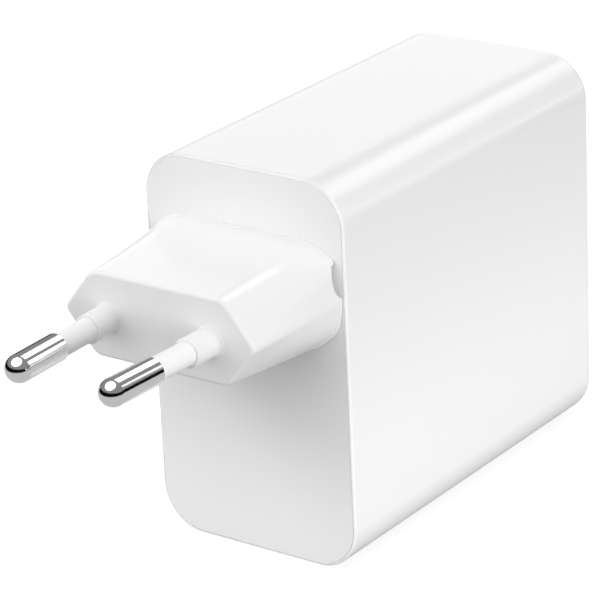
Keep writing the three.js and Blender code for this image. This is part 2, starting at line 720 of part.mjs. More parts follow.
const makeFuse = () => {
  const radius = FUSE_DIAMETER / 2;
  const bottom = highZ - FUSE_LENGTH;
  const waist = radius - FUSE_CAP_STEP;
  return turnedAlongZ([
    [0, bottom],
    [radius, bottom],
    [radius, bottom + FUSE_CAP_LENGTH],
    [waist, bottom + FUSE_CAP_LENGTH],
    [waist, highZ - FUSE_CAP_LENGTH],
    [radius, highZ - FUSE_CAP_LENGTH],
    [radius, highZ],
    [0, highZ],
  ], componentX + radius, filterFrontY + radius, SMALL_ROUND);
};

const disc = (diameter, startY, thickness, z) =>
  roundAlongY(diameter, startY, startY + thickness, componentX + diameter / 2, z, LARGE_ROUND);

addPiece(adapter, "fuse", makeFuse(), glassTube);
addPiece(adapter, "inrush_thermistor", disc(
  THERMISTOR_DIAMETER, filterFrontY + FUSE_DIAMETER + SEAT, THERMISTOR_THICKNESS,
  highZ - THERMISTOR_DIAMETER / 2,
), greenDisc);

// A block that stands on the board's component side.
const onBoard = (size, startY, lowEnd) => block(
  [componentX, startY, lowEnd], [componentX + size.x, startY + size.y, lowEnd + size.z],
);

// A block on the board's solder side.
const underBoard = (size, startY, lowEnd) => block(
  [boardBackX - SEAT - size.x, startY, lowEnd], [boardBackX - SEAT, startY + size.y, lowEnd + size.z],
);

addPiece(adapter, "mains_filter_capacitor", onBoard(X_CAPACITOR_SIZE, filterFrontY, lowZ), yellowTape);

const ring = (outer, inner, startX, endX, y, z) => turnedAlongX([
  [inner / 2, startX], [outer / 2, startX], [outer / 2, endX], [inner / 2, endX], [inner / 2, startX],
], y, z);

const chokeY = filterFrontY + CHOKE_DIAMETER / 2;
const chokeCoreLow = componentX + CHOKE_WINDING_THICKNESS + SEAT;
const chokeCoreHigh = componentX + CHOKE_HEIGHT - CHOKE_WINDING_THICKNESS - SEAT;
const chokeCoreOuter = CHOKE_DIAMETER - 2 * CHOKE_WINDING_THICKNESS - 2 * SEAT;
const chokeCoreInner = CHOKE_BORE + 2 * CHOKE_WINDING_THICKNESS - 2 * SEAT;
const makeChokeWinding = (direction) => {
  const wound = cut(
    ring(CHOKE_DIAMETER, CHOKE_BORE - 2 * SEAT, componentX, componentX + CHOKE_HEIGHT, chokeY, middleZ),
    ring(
      chokeCoreOuter + 2 * SEAT, chokeCoreInner - 2 * SEAT,
      chokeCoreLow - SEAT, chokeCoreHigh + SEAT, chokeY, middleZ,
    ),
  );
  const near = (direction * CHOKE_WINDING_GAP) / 2;
  const far = direction * CHOKE_DIAMETER;
  return common(wound, block(
    [componentX - OVERRUN, chokeY - CHOKE_DIAMETER, middleZ + Math.min(near, far)],
    [componentX + CHOKE_HEIGHT + OVERRUN, chokeY + CHOKE_DIAMETER, middleZ + Math.max(near, far)],
  ));
};

addPiece(adapter, "choke_core", ring(
  chokeCoreOuter, chokeCoreInner, chokeCoreLow, chokeCoreHigh, chokeY, middleZ,
), ferrite);
addPiece(adapter, "choke_winding_lower", makeChokeWinding(-1), copper);
addPiece(adapter, "choke_winding_upper", makeChokeWinding(1), copper);

addPiece(adapter, "bridge_rectifier", underBoard(BRIDGE_SIZE, filterFrontY, lowZ), blackPlastic);

// A can capacitor lying along Z, with the crimp groove near its lower end.
const makeCan = (diameter, length, x, y, lowEnd) => {
  const radius = diameter / 2;
  const groove = CAN_CRIMP_SHARE * diameter;
  return turnedAlongZ([
    [0, lowEnd],
    [radius - groove / 2, lowEnd],
    [radius, lowEnd + groove],
    [radius, lowEnd + 2 * groove],
    [radius - groove, lowEnd + 3 * groove],
    [radius, lowEnd + 4 * groove],
    [radius, lowEnd + length - groove],
    [radius - groove, lowEnd + length],
    [0, lowEnd + length],
  ], x, y);
};

const bulkX = componentX + BULK_DIAMETER / 2;
const bulkY = bulkFrontY + BULK_DIAMETER / 2;
const bulkLength = (highZ - lowZ - BULK_END_GAP) / 2;
const makeBulkCapacitor = (lowEnd) => makeCan(BULK_DIAMETER, bulkLength, bulkX, bulkY, lowEnd);
addPiece(adapter, "bulk_capacitor_lower", makeBulkCapacitor(lowZ), blueSleeve);
addPiece(adapter, "bulk_capacitor_upper", makeBulkCapacitor(highZ - bulkLength), blueSleeve);

// ---------------------------------------------------------------- transformer and switching

const transformerLow = middleZ - TRANSFORMER_SIZE.z / 2;
const transformerHigh = middleZ + TRANSFORMER_SIZE.z / 2;
const transformerRearY = transformerFrontY + TRANSFORMER_SIZE.y;
const transformerTopX = componentX + TRANSFORMER_SIZE.x;
const transformerMiddleX = componentX + TRANSFORMER_SIZE.x / 2;
const transformerMiddleY = transformerFrontY + TRANSFORMER_SIZE.y / 2;

// Each ferrite half is an E: a back, two outer legs and half of the round centre leg.
const makeCoreHalf = (direction) => {
  const outerEnd = direction < 0 ? transformerLow : transformerHigh;
  const backInner = outerEnd - direction * CORE_BACK;
  const meeting = middleZ + (direction * SEAT) / 2;
  const between = (a, b) => [Math.min(a, b), Math.max(a, b)];
  const [backLow, backHigh] = between(outerEnd, backInner);
  const [legLow, legHigh] = between(backInner + direction * OVERRUN, meeting);
  const leg = (startX, endX) => block(
    [startX, transformerFrontY, legLow], [endX, transformerRearY, legHigh],
  );
  const centre = turnedAlongZ([
    [0, legLow],
    [CORE_CENTRE_DIAMETER / 2, legLow],
    [CORE_CENTRE_DIAMETER / 2, legHigh],
    [0, legHigh],
  ], transformerMiddleX, transformerMiddleY, SMALL_ROUND);
  return join(
    block([componentX, transformerFrontY, backLow], [transformerTopX, transformerRearY, backHigh]),
    leg(componentX, componentX + CORE_LEG),
    leg(transformerTopX - CORE_LEG, transformerTopX),
    centre,
  );
};

const bobbinLow = transformerLow + CORE_BACK + SEAT;
const bobbinHigh = transformerHigh - CORE_BACK - SEAT;
const bobbinBore = CORE_CENTRE_DIAMETER / 2 + SEAT;
const windowHalf = TRANSFORMER_SIZE.x / 2 - CORE_LEG - SEAT;
addPiece(adapter, "transformer_core_lower", makeCoreHalf(-1), ferrite);
addPiece(adapter, "transformer_core_upper", makeCoreHalf(1), ferrite);
addPiece(adapter, "transformer_bobbin", turnedAlongZ([
  [bobbinBore, bobbinLow],
  [windowHalf, bobbinLow],
  [windowHalf, bobbinLow + BOBBIN_WALL],
  [bobbinBore + BOBBIN_WALL, bobbinLow + BOBBIN_WALL],
  [bobbinBore + BOBBIN_WALL, bobbinHigh - BOBBIN_WALL],
  [windowHalf, bobbinHigh - BOBBIN_WALL],
  [windowHalf, bobbinHigh],
  [bobbinBore, bobbinHigh],
  [bobbinBore, bobbinLow],
], transformerMiddleX, transformerMiddleY), blackPlastic);
addPiece(adapter, "transformer_winding", turnedAlongZ([
  [bobbinBore + BOBBIN_WALL + SEAT / 2, bobbinLow + BOBBIN_WALL + SEAT],
  [windowHalf, bobbinLow + BOBBIN_WALL + SEAT],
  [windowHalf, bobbinHigh - BOBBIN_WALL - SEAT],
  [bobbinBore + BOBBIN_WALL + SEAT / 2, bobbinHigh - BOBBIN_WALL - SEAT],
  [bobbinBore + BOBBIN_WALL + SEAT / 2, bobbinLow + BOBBIN_WALL + SEAT],
], transformerMiddleX, transformerMiddleY), yellowTape);
addPiece(adapter, "thermal_pad", block(
  [transformerTopX + SEAT, transformerMiddleY - THERMAL_PAD_SIZE.y / 2, middleZ - THERMAL_PAD_SIZE.z / 2],
  [rightSheetX - SEAT, transformerMiddleY + THERMAL_PAD_SIZE.y / 2, middleZ + THERMAL_PAD_SIZE.z / 2],
), greyPad);

const transistorLow = highZ - TRANSISTOR_SIZE.z;
addPiece(adapter, "switching_transistor", onBoard(
  TRANSISTOR_SIZE, transformerFrontY + HEAT_SINK_THICKNESS + SEAT, transistorLow,
), blackPlastic);
addPiece(adapter, "transistor_heat_sink", onBoard(
  { x: HEAT_SINK_HEIGHT, y: HEAT_SINK_THICKNESS, z: TRANSISTOR_SIZE.z }, transformerFrontY, transistorLow,
), aluminium);

addPiece(adapter, "bridging_capacitor", disc(
  Y_CAPACITOR_DIAMETER, transformerFrontY, Y_CAPACITOR_THICKNESS, lowZ + Y_CAPACITOR_DIAMETER / 2,
), blueSleeve);
addPiece(adapter, "optocoupler", onBoard(
  OPTOCOUPLER_SIZE, transformerFrontY + Y_CAPACITOR_THICKNESS + 3 * SEAT, lowZ,
), blackPlastic);
addPiece(adapter, "primary_controller", underBoard(CONTROLLER_SIZE, bulkFrontY, middleZ), blackPlastic);
addPiece(adapter, "output_rectifier", underBoard(
  RECTIFIER_SIZE, transformerFrontY + TRANSFORMER_SIZE.y / 2, middleZ,
), blackPlastic);

// ---------------------------------------------------------------- output side

const outputCanY = interiorRearY - SEAT - OUTPUT_CAPACITOR_DIAMETER / 2;
const makeOutputCapacitor = (z) => turnedAlongX([
  [0, componentX],
  [OUTPUT_CAPACITOR_DIAMETER / 2, componentX],
  [OUTPUT_CAPACITOR_DIAMETER / 2, componentX + OUTPUT_CAPACITOR_HEIGHT - SEAT],
  [OUTPUT_CAPACITOR_DIAMETER / 2 - SEAT, componentX + OUTPUT_CAPACITOR_HEIGHT],
  [0, componentX + OUTPUT_CAPACITOR_HEIGHT],
], outputCanY, z);

const outputCanLow = lowZ + OUTPUT_CAPACITOR_DIAMETER / 2;
const outputCanHigh = highZ - OUTPUT_CAPACITOR_DIAMETER / 2;
addPiece(adapter, "output_capacitor_lower", makeOutputCapacitor(outputCanLow), aluminium);
addPiece(adapter, "output_capacitor_upper", makeOutputCapacitor(outputCanHigh), aluminium);

addPiece(adapter, "output_board", block(
  [outputBoardBackX, outputBoardFrontY, middleZ - OUTPUT_BOARD_LENGTH / 2],
  [outputBoardFrontX, interiorRearY, middleZ + OUTPUT_BOARD_LENGTH / 2],
), boardGreen);
addPiece(adapter, "board_header", block(
  [componentX, outputBoardFrontY + SEAT, middleZ - HEADER_LENGTH / 2],
  [outputBoardBackX - SEAT, outputBoardFrontY + SEAT + HEADER_DEPTH, middleZ + HEADER_LENGTH / 2],
), blackPlastic);

const portBackY = portMouthY - PORT_LENGTH;
const tongueBaseInset = PORT_WALL + SNUG_GAP;
const tongueBaseOutline = roundedRectangle(
  PORT_SHORT / 2 - tongueBaseInset,
  middleZ - PORT_LONG / 2 + tongueBaseInset, middleZ + PORT_LONG / 2 - tongueBaseInset,
  PORT_SHORT / 2 - tongueBaseInset - LEAST_FLAT,
);

addPiece(adapter, "output_socket_shell", cut(
  prismAlongY(portOutline(0), portBackY, portMouthY),
  prismAlongY(portOutline(-PORT_WALL), portBackY - OVERRUN, portMouthY + OVERRUN),
), polishedNickel);
addPiece(adapter, "output_socket_tongue", join(
  prismAlongY(tongueBaseOutline, portBackY, portBackY + TONGUE_BASE_LENGTH),
  block(
    [-TONGUE_THICKNESS / 2, portBackY + SEAT, middleZ - TONGUE_WIDTH / 2],
    [TONGUE_THICKNESS / 2, portBackY + TONGUE_BASE_LENGTH + TONGUE_LENGTH, middleZ + TONGUE_WIDTH / 2],
  ),
), blackPlastic);

export default adapter;
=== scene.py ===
"""Laptop power adapter: a glossy wall-mounted case, its pull-off plug head, and the studio they stand in."""

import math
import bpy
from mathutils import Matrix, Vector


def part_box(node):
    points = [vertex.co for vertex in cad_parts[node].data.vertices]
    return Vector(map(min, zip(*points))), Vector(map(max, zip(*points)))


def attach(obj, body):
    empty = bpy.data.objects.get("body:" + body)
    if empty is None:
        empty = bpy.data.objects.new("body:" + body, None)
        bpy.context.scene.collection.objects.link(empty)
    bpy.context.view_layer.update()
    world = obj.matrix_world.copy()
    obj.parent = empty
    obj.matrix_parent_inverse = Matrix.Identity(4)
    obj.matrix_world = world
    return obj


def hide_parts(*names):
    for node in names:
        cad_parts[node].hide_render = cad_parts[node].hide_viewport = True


bl_info = {
    "name": "Laptop Power Adapter",
    "version": (1, 0, 0),
    "blender": (4, 5, 0),
    "location": "3D View > Sidebar > Adapter",
    "description": "Dresses a wall-mounted power adapter with smooth shells, bright pins and fine finishes",
    "category": "Object",
}

from typing import NamedTuple

import bmesh
import bpy
from bpy.props import FloatProperty, FloatVectorProperty, IntProperty, PointerProperty
from mathutils import Matrix, Vector

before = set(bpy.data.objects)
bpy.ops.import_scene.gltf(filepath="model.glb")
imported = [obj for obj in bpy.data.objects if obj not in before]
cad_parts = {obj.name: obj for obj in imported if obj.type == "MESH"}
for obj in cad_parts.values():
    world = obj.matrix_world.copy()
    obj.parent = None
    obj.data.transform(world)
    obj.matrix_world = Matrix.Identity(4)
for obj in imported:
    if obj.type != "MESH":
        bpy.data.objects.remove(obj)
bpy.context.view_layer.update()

MM = 0.001
SIDES = (("left", -1), ("right", 1))
SHELL_LOW, SHELL_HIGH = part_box("housing_shell")
HEAD_LOW, HEAD_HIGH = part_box("plug_head_shell")
HEAD_BACK_LOW, HEAD_BACK_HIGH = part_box("plug_head_back")
SPIGOT_REAR_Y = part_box("front_cover")[1].y
INLET_FOOT_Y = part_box("inlet_pin_left")[1].y

HALF_WIDTH = SHELL_HIGH.x
CASE_HEIGHT = SHELL_HIGH.z
REAR_Y = SHELL_HIGH.y
FRONT_Y = SHELL_LOW.y
HEAD_CENTRE_Z = (HEAD_LOW.z + HEAD_HIGH.z) / 2
PORT_CENTRE_Z = CASE_HEIGHT / 2

# The gap that the CAD solids keep where two pieces touch.
SEAT = 0.3 * MM
# How far a cutting shape reaches past the piece that it cuts.
PAST = 1 * MM
# The least length that keeps neighbouring points and faces apart.
HAIR = 0.01 * MM
QUARTER_TURN = math.pi / 2
# Steps of a quarter turn, the more the larger the rounding shows.
ROUND_STEPS = 8
SMALL_ROUND_STEPS = 5
FINE_ROUND_STEPS = 4
CASE_CORNER_STEPS = 20
PORT_CORNER_STEPS = 10
# Steps of a full turn.
TURN_STEPS = 48
PIN_TURN_STEPS = 64
NOTCH_TURN_STEPS = 96


# ---------------- sizes and colours a user would change

def size(name, description, default_mm):
    """A length that a user can change, with its default in millimetres."""
    return FloatProperty(
        name=name, description=description, default=default_mm * MM, min=0, unit="LENGTH", precision=5,
    )


def share(name, description, default, highest=1):
    """A plain factor that a user can change."""
    return FloatProperty(
        name=name, description=description, default=default, min=0, max=highest, subtype="FACTOR",
    )


def angle(name, description, degrees):
    """An angle that a user can change, with its default in degrees."""
    return FloatProperty(name=name, description=description, default=math.radians(degrees), subtype="ANGLE")


def colour(name, description, default):
    """A surface colour that a user can change."""
    return FloatVectorProperty(
        name=name, description=description, default=default, min=0, max=1, size=3, subtype="COLOR",
    )


class AdapterCaseSizes(bpy.types.PropertyGroup):
    """Sizes of the sleeve and of the cover that closes it."""

    corner_radius: size("Corner radius", "Radius of the four long edges", 7.3)
    wall: size("Wall", "Thickness of the sleeve's walls", 2.2)
    rear_edge_radius: size("Rear edge radius", "Rounding round the rear wall", 1.2)
    cover_thickness: size("Cover thickness", "Thickness of the cover's plate", 1.8)
    rim_width: size("Rim width", "Width of the sleeve's rim round the cover", 0.5)
    rim_radius: size("Rim radius", "Rounding of the rim's outer edge", 0.42)
    seam_bevel: size("Seam bevel", "Bevel of the rim towards the cover", 0.06)
    seam_round: size("Seam round", "Rounding of the cover's edge at the seam", 0.05)
    seam_gap: size("Seam gap", "Gap between the cover and the rim", 0.015)
    spigot_wall: size("Spigot wall", "Thickness of the cover's inner ring", 1.2)
    rail_height: size("Rail height", "How far the board's rails stand off the walls", 1.0)
    rail_thickness: size("Rail thickness", "Thickness of one board rail", 0.9)
    rail_length: size("Rail length", "Length of the board rails", 48)


class AdapterBossSizes(bpy.types.PropertyGroup):
    """Sizes of the boss that the plug head slides over, and of its pins and springs."""

    width: size("Width", "Width of the boss", 2 * HEAD_BACK_HIGH.x / MM)
    height: size("Height", "Height of the boss", (HEAD_BACK_HIGH.z - HEAD_BACK_LOW.z) / MM)
    length: size("Length", "How far the boss stands off the cover", 7.5)
    corner_radius: size("Corner radius", "Radius of the boss's long edges", 1.4)
    end_round: size("End round", "Rounding round the end of the boss", 0.4)
    inlet_diameter: size("Inlet pin diameter", "Diameter of the brass inlet pins", 2.8)
    bore_clearance: size("Bore clearance", "Clearance round an inlet pin", 0.2)
    spring_depth: size("Spring pocket depth", "Depth of the pocket for a detent spring", 1.1)
    spring_height: size("Spring pocket height", "Height of the pocket for a detent spring", 4.6)
    spring_length: size("Spring pocket length", "Length of the pocket for a detent spring", 6.1)


class AdapterHeadSizes(bpy.types.PropertyGroup):
    """Sizes of the six-sided plug head."""

    length: size("Length", "From the cover to the pin face", 21.8)
    tip_half_width: size("Ridge half width", "Half the width across the side ridges", 17.75)
    front_half_height: size("Front half height", "Half the height at the pin face", 6.8)
    front_flat: size("Front flat", "Half the width of the flat top at the pin face", 12.2)
    rear_half_height: size("Rear half height", "Half the height at the cover", 8.6)
    rear_flat: size("Rear flat", "Half the width of the flat top at the cover", 12.4)
    rear_shoulder: size("Rear shoulder", "Half the width across the shoulders at the cover", 17.1)
    upper_shoulder: size("Upper shoulder", "Height of the upper shoulder above the ridge", 6.2)
    lower_shoulder: size("Lower shoulder", "Drop of the lower shoulder below the ridge", 5.0)
    shoulder_share: share("Shoulder share", "Place of the shoulder on the slope at the pin face", 0.49)
    upper_radius: size("Upper edge radius", "Rounding of the upper long edges at the pin face", 3.0)
    upper_rear_radius: size("Upper rear radius", "Rounding of the upper long edges at the cover", 9.0)
    lower_radius: size("Lower edge radius", "Rounding of the two lower long edges", 2.5)
    ridge_radius: size("Ridge radius", "Rounding of the side ridges", 1.2)
    ridge_spread: size("Ridge spread", "How far the ridge's rounding reaches to each side at least", 0.9)
    shoulder_spread: size("Shoulder spread", "How far the soft shoulder reaches to each side", 2.3)
    face_radius: size("Face radius", "Rounding round the pin face", 0.6)
    face_wall: size("Face wall", "Thickness of the wall behind the pin face", 3.0)
    bead_width: size("Bead width", "Width of the raised bead at the cover", 0.7)
    bead_rise: size("Bead rise", "Height of the raised bead at the cover", 0.18)
    cover_gap: size("Cover gap", "Gap between the head and the cover", 0.02)
    notch_chord: size("Notch chord", "Height of the grip notch", 5.4)
    notch_depth: size("Notch depth", "Depth of the grip notch along the head", 1.4)
    notch_rise: size("Notch rise", "Height of the notch's middle above the ridge", 3.4)
    notch_inner: size("Notch inner end", "Where the grip notch ends, from the middle", 15.6)


class AdapterPinSizes(bpy.types.PropertyGroup):
    """Sizes of the plug pins, measured along their slightly converging axes."""

    drop: size("Drop", "How far the pins' axis lies under the head's middle", 0.25)
    spacing: size("Spacing", "Distance between the pins at the pin face", 18.6)
    tip_spacing: size("Tip spacing", "Distance between the pins at their tips", 17.0)
    reach: size("Reach", "Length of a pin out of the pin face", 23.4)
    head_diameter: size("Bright end diameter", "Diameter of the bright metal end", 4.3)
    head_length: size("Bright end length", "Length of the bright metal end", 11.0)
    head_round: size("Bright end round", "Rounding at the root of the bright end", 0.16)
    shank_diameter: size("Shank diameter", "Diameter of the metal core", 2.5)
    bore_clearance: size("Bore clearance", "Clearance round the metal core", 0.2)
    sleeve_diameter: size("Sleeve diameter", "Diameter of the insulating sleeve", 3.7)
    sleeve_fillet: size("Sleeve fillet", "Fillet where the sleeve meets the collar", 0.06)
    seam_gap: size("Seam gap", "Fine gap between the sleeve and the collar", 0.05)
    collar_diameter: size("Collar diameter", "Diameter of the moulded collar", 4.6)
    collar_length: size("Collar length", "Length of the moulded collar", 5.1)
    collar_round: size("Collar round", "Rounding at the collar's end", 0.12)
    flare_diameter: size("Flare diameter", "Diameter of the fillet at the collar's root", 5.8)
    flare_height: size("Flare height", "Height of the fillet at the collar's root", 0.5)


class AdapterPortSizes(bpy.types.PropertyGroup):
    """Sizes of the reversible output socket."""

    long_side: size("Long side", "Outside length of the metal shell", 8.94)
    short_side: size("Short side", "Outside width of the metal shell", 3.2)
    wall: size("Wall", "Thickness of the metal shell", 0.3)
    mouth_bevel: size("Mouth bevel", "Bevel round the opening in the rear wall", 0.35)
    tongue_thickness: size("Tongue thickness", "Thickness of the contact tongue", 0.7)
    tongue_width: size("Tongue width", "Width of the contact tongue", 6.6)
    base_length: size("Base length", "Length of the tongue's base block", 2.0)
    contact_count: IntProperty(name="Contacts", description="Contact strips on one side", default=12, min=1)
    contact_pitch: size("Contact pitch", "Distance between neighbouring contact strips", 0.5)
    contact_width: size("Contact width", "Width of one contact strip", 0.26)
    contact_rise: size("Contact rise", "How far a contact stands off the tongue", 0.03)


class AdapterColours(bpy.types.PropertyGroup):
    """Colours of the outer pieces and of the pieces inside."""

    white_gloss: colour("Glossy white", "Case, cover and plug head", (0.885, 0.888, 0.9))
    white_satin: colour("Satin white", "Pin sleeves and inner plate", (0.87, 0.873, 0.882))
    nickel: colour("Nickel", "Plug pins and socket shell", (0.72, 0.72, 0.73))
    brass: colour("Brass", "Inlet pins and contacts", (0.62, 0.44, 0.18))
    steel: colour("Spring steel", "Detent springs", (0.5, 0.51, 0.53))
    aluminium: colour("Aluminium", "Heat spreaders and cans", (0.6, 0.61, 0.62))
    copper: colour("Copper", "Windings and strips", (0.6, 0.24, 0.1))
    board: colour("Board", "Solder resist", (0.012, 0.09, 0.03))
    ferrite: colour("Ferrite", "Cores", (0.03, 0.03, 0.034))
    black: colour("Black plastic", "Packages and bobbin", (0.012, 0.012, 0.013))
    tape: colour("Tape", "Yellow film tape", (0.65, 0.42, 0.04))
    sleeve: colour("Shrink sleeve", "Capacitor sleeves", (0.02, 0.06, 0.18))
    disc: colour("Disc coating", "Dipped thermistor", (0.025, 0.15, 0.1))
    pad: colour("Thermal pad", "Soft silicone", (0.24, 0.28, 0.34))
    film: colour("Film", "Insulation sheets", (0.68, 0.68, 0.58))
    glass: colour("Glass", "Fuse tube", (0.8, 0.83, 0.8))


class AdapterStageSettings(bpy.types.PropertyGroup):
    """The camera, the lamps and the pale floor."""

    distance: size("Distance", "From the camera to its target", 499.3)
    azimuth: angle("Azimuth", "Direction of the camera round the object", 36.5)
    elevation: angle("Elevation", "Height of the camera above the horizon", 21.856)
    roll: angle("Roll", "Tilt of the camera about its own axis", -2.676)
    focal_length: FloatProperty(
        name="Focal length", description="Lens length on a 36 mm sensor", default=195.15, unit="CAMERA",
    )
    target: FloatVectorProperty(
        name="Target", description="The point the camera looks at",
        default=(3.12 * MM, -25.75 * MM, 39.25 * MM), size=3, subtype="TRANSLATION",
    )
    dome: share("Dome", "Even light from all round", 0.712, 10)
    reflected_sky: share("Reflected sky", "Brightness of the room in reflections", 0.35, 10)
    floor_bounce: share("Floor bounce", "How much of the light the floor throws back", 0.3)
    floor_glow: share("Floor glow", "Brightness of the floor in reflections", 0.4, 10)
    floor_white: share("Floor white", "Brightness that the camera sees on top of the floor's own", 0.85, 10)
    lamp_level: share("Lamp level", "Factor on the brightness of every lamp", 1.0, 10)


# ---------------- outlines

def left_of(direction):
    return Vector((-direction.y, direction.x))


def corner_frame(corners, index):
    """What rounding or insetting one corner of an anticlockwise outline needs to know."""
    corner = corners[index]
    arriving = (corner - corners[index - 1]).normalized()
    leaving = (corners[(index + 1) % len(corners)] - corner).normalized()
    inward = (left_of(arriving) + left_of(leaving)).normalized()
    turn = arriving.angle(leaving, 0)
    return corner, arriving, leaving, inward, turn


def inset(corners, distance):
    """The outline moved inwards by a distance, or outwards where it is negative."""
    moved = []
    for index in range(len(corners)):
        corner, _, _, inward, turn = corner_frame(corners, index)
        moved.append(corner + inward * (distance / math.cos(turn / 2)))
    return moved


def rounded(corners, radii, steps, spreads):
    """The outline with an arc at each corner, which reaches at least a given distance to each side."""
    points = []
    for index, (radius, spread) in enumerate(zip(radii, spreads)):
        corner, arriving, leaving, _, turn = corner_frame(corners, index)
        setback = max(radius * math.tan(turn / 2), spread)
        weight = math.cos(turn / 2)
        start = corner - arriving * setback
        end = corner + leaving * setback
        for step in range(steps + 1):
            t = step / steps
            shares = ((1 - t) ** 2, 2 * weight * t * (1 - t), t * t)
            point = start * shares[0] + corner * shares[1] + end * shares[2]
            points.append(point / sum(shares))
    return points


def rounded_rectangle(half_width, low, high, radius, steps=ROUND_STEPS):
    """An upright rectangle with round corners, in the middle from side to side."""
    corners = [(half_width, low), (half_width, high), (-half_width, high), (-half_width, low)]
    return rounded([Vector(corner) for corner in corners], [radius] * 4, steps, [HAIR] * 4)


def arc(span, steps):
    """Evenly spaced angles from 0 to the span."""
    return [span * step / steps for step in range(steps + 1)]


def quarter_round(radius, steps=ROUND_STEPS):
    """Points of a quarter circle at the end of a bar, as (distance from the end, inset), end first."""
    angles = reversed(arc(QUARTER_TURN, steps))
    return [(radius * (1 - math.sin(a)), radius * (1 - math.cos(a))) for a in angles]


def circle(radius, steps):
    """Points round a circle, as (across, up)."""
    angles = arc(math.tau, steps)[:-1]
    return [(radius * math.cos(a), radius * math.sin(a)) for a in angles]


def between(first, second, along):
    return first + (second - first) * along


# ---------------- meshes

CREASE = math.radians(35)
FLAT_FACE_WEIGHT = 80


def put_in_scene(name, data):
    thing = bpy.data.objects.new(name, data)
    bpy.context.scene.collection.objects.link(thing)
    return thing


def new_piece(name, mesh_maker):
    """A mesh object filled by a function that works on a bmesh."""
    work = bmesh.new()
    mesh_maker(work)
    bmesh.ops.recalc_face_normals(work, faces=work.faces)
    mesh = bpy.data.meshes.new(name)
    work.to_mesh(mesh)
    work.free()
    return put_in_scene(name, mesh)


def skin(work, near, far):
    """Faces between two rings of corners; a ring of one corner is a tip."""
    for k in range(max(len(near), len(far))):
        first = [near[k - 1], near[k]] if len(near) > 1 else near
        second = [far[k], far[k - 1]] if len(far) > 1 else far
        work.faces.new(first + second)


def loft(name, sections):
    """Skins a row of (depth, outline) sections along Y and closes both ends."""
    def fill(work):
        rings = [[work.verts.new((p.x, depth, p.y)) for p in points] for depth, points in sections]
        for near, far in zip(rings, rings[1:]):
            skin(work, near, far)
        work.faces.new(rings[0])
        work.faces.new(list(reversed(rings[-1])))
    return new_piece(name, fill)


def turned(name, profile, place, steps=TURN_STEPS):
    """Turns a (radius, distance) profile about the -Y axis; it ends on the axis or is a loop."""
    loop = profile[0][0] > 0

    def fill(work):
        rings = []
        for radius, distance in profile[:-1] if loop else profile:
            points = circle(radius, steps) if radius > 0 else [(0, 0)]
            rings.append([work.verts.new((x, -distance, z)) for x, z in points])
        following = rings[1:] + rings[:1] if loop else rings[1:]
        for near, far in zip(rings, following):
            skin(work, near, far)
        work.transform(place)
    return new_piece(name, fill)


def bar(name, radius, start, stop, place, steps=TURN_STEPS):
    """A round bar between two distances along the -Y axis."""
    return turned(name, [(0, start), (radius, start), (radius, stop), (0, stop)], place, steps)


def add_block(work, low, high):
    low, high = Vector(low), Vector(high)
    stretch = Matrix.Diagonal((*(high - low), 1))
    bmesh.ops.create_cube(work, size=1, matrix=Matrix.Translation((low + high) / 2) @ stretch)


def block(name, low, high):
    """A block between two corners."""
    return new_piece(name, lambda work: add_block(work, low, high))


def combine(piece, joins=(), cuts=()):
    """Joins and cuts other pieces, which are used up, and leaves one plain mesh."""
    others = [(other, "UNION") for other in joins] + [(other, "DIFFERENCE") for other in cuts]
    for other, operation in others:
        step = piece.modifiers.new(operation, "BOOLEAN")
        step.object = other
        step.operation = operation
        step.solver = "EXACT"
    bpy.context.view_layer.update()
    depsgraph = bpy.context.evaluated_depsgraph_get()
    done = bpy.data.meshes.new_from_object(piece.evaluated_get(depsgraph))
    if not done.polygons:
        raise RuntimeError(f"nothing was left of {piece.name}")
    piece.modifiers.clear()
    piece.data = done
    done.name = piece.name
    for other, _ in others:
        bpy.data.objects.remove(other)


def smooth(piece):
    """Smooth shading that keeps flat faces flat and real creases sharp."""
    piece.data.shade_smooth()
    piece.data.set_sharp_from_angle(angle=CREASE)
    weighted = piece.modifiers.new("Flat faces stay flat", "WEIGHTED_NORMAL")
    weighted.keep_sharp = True
    weighted.weight = FLAT_FACE_WEIGHT


def give_finish(piece, slot_name):
    piece.data.materials.clear()
    piece.data.materials.append(finish(slot_name))


def dress(piece, slot_name, body, *replaced):
    """Gives a new piece its shading, its body, its finish and the CAD nodes it stands for."""
    smooth(piece)
    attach(piece, body)
    give_finish(piece, slot_name)
    if replaced:
        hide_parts(*replaced)


# ---------------- shader nodes

def add_node(tree, kind, inputs, **settings):
    """A new node; each input gets a plain value or is linked to an output."""
    node = tree.nodes.new(f"ShaderNode{kind}")
    for name, value in settings.items():
        setattr(node, name, value)
    for name, value in inputs.items():
        if isinstance(value, bpy.types.NodeSocket):
            tree.links.new(value, node.inputs[name])
        else:
            node.inputs[name].default_value = value
    return node


def math_node(tree, operation, first, second=0.0):
    return add_node(tree, "Math", {0: first, 1: second}, operation=operation).outputs[0]


def weighed(tree, first, second, share):
    """The sum of two values, of which the first counts for the given share."""
    part = math_node(tree, "MULTIPLY", first, share)
    rest = math_node(tree, "MULTIPLY", second, 1 - share)
    return math_node(tree, "ADD", part, rest)


def object_place(tree):
    return tree.nodes.new("ShaderNodeTexCoord").outputs["Object"]


def noise_node(tree, vector, scale, detail):
    """A noise texture, whose scale is in features per metre."""
    return add_node(tree, "TexNoise", {"Vector": vector, "Scale": scale, "Detail": detail}).outputs["Fac"]


def remap(tree, value, low, high, to_low=0.0, to_high=1.0):
    """Moves a value from one range to another."""
    inputs = {"Value": value, "From Min": low, "From Max": high, "To Min": to_low, "To Max": to_high}
    return add_node(tree, "MapRange", inputs).outputs["Result"]


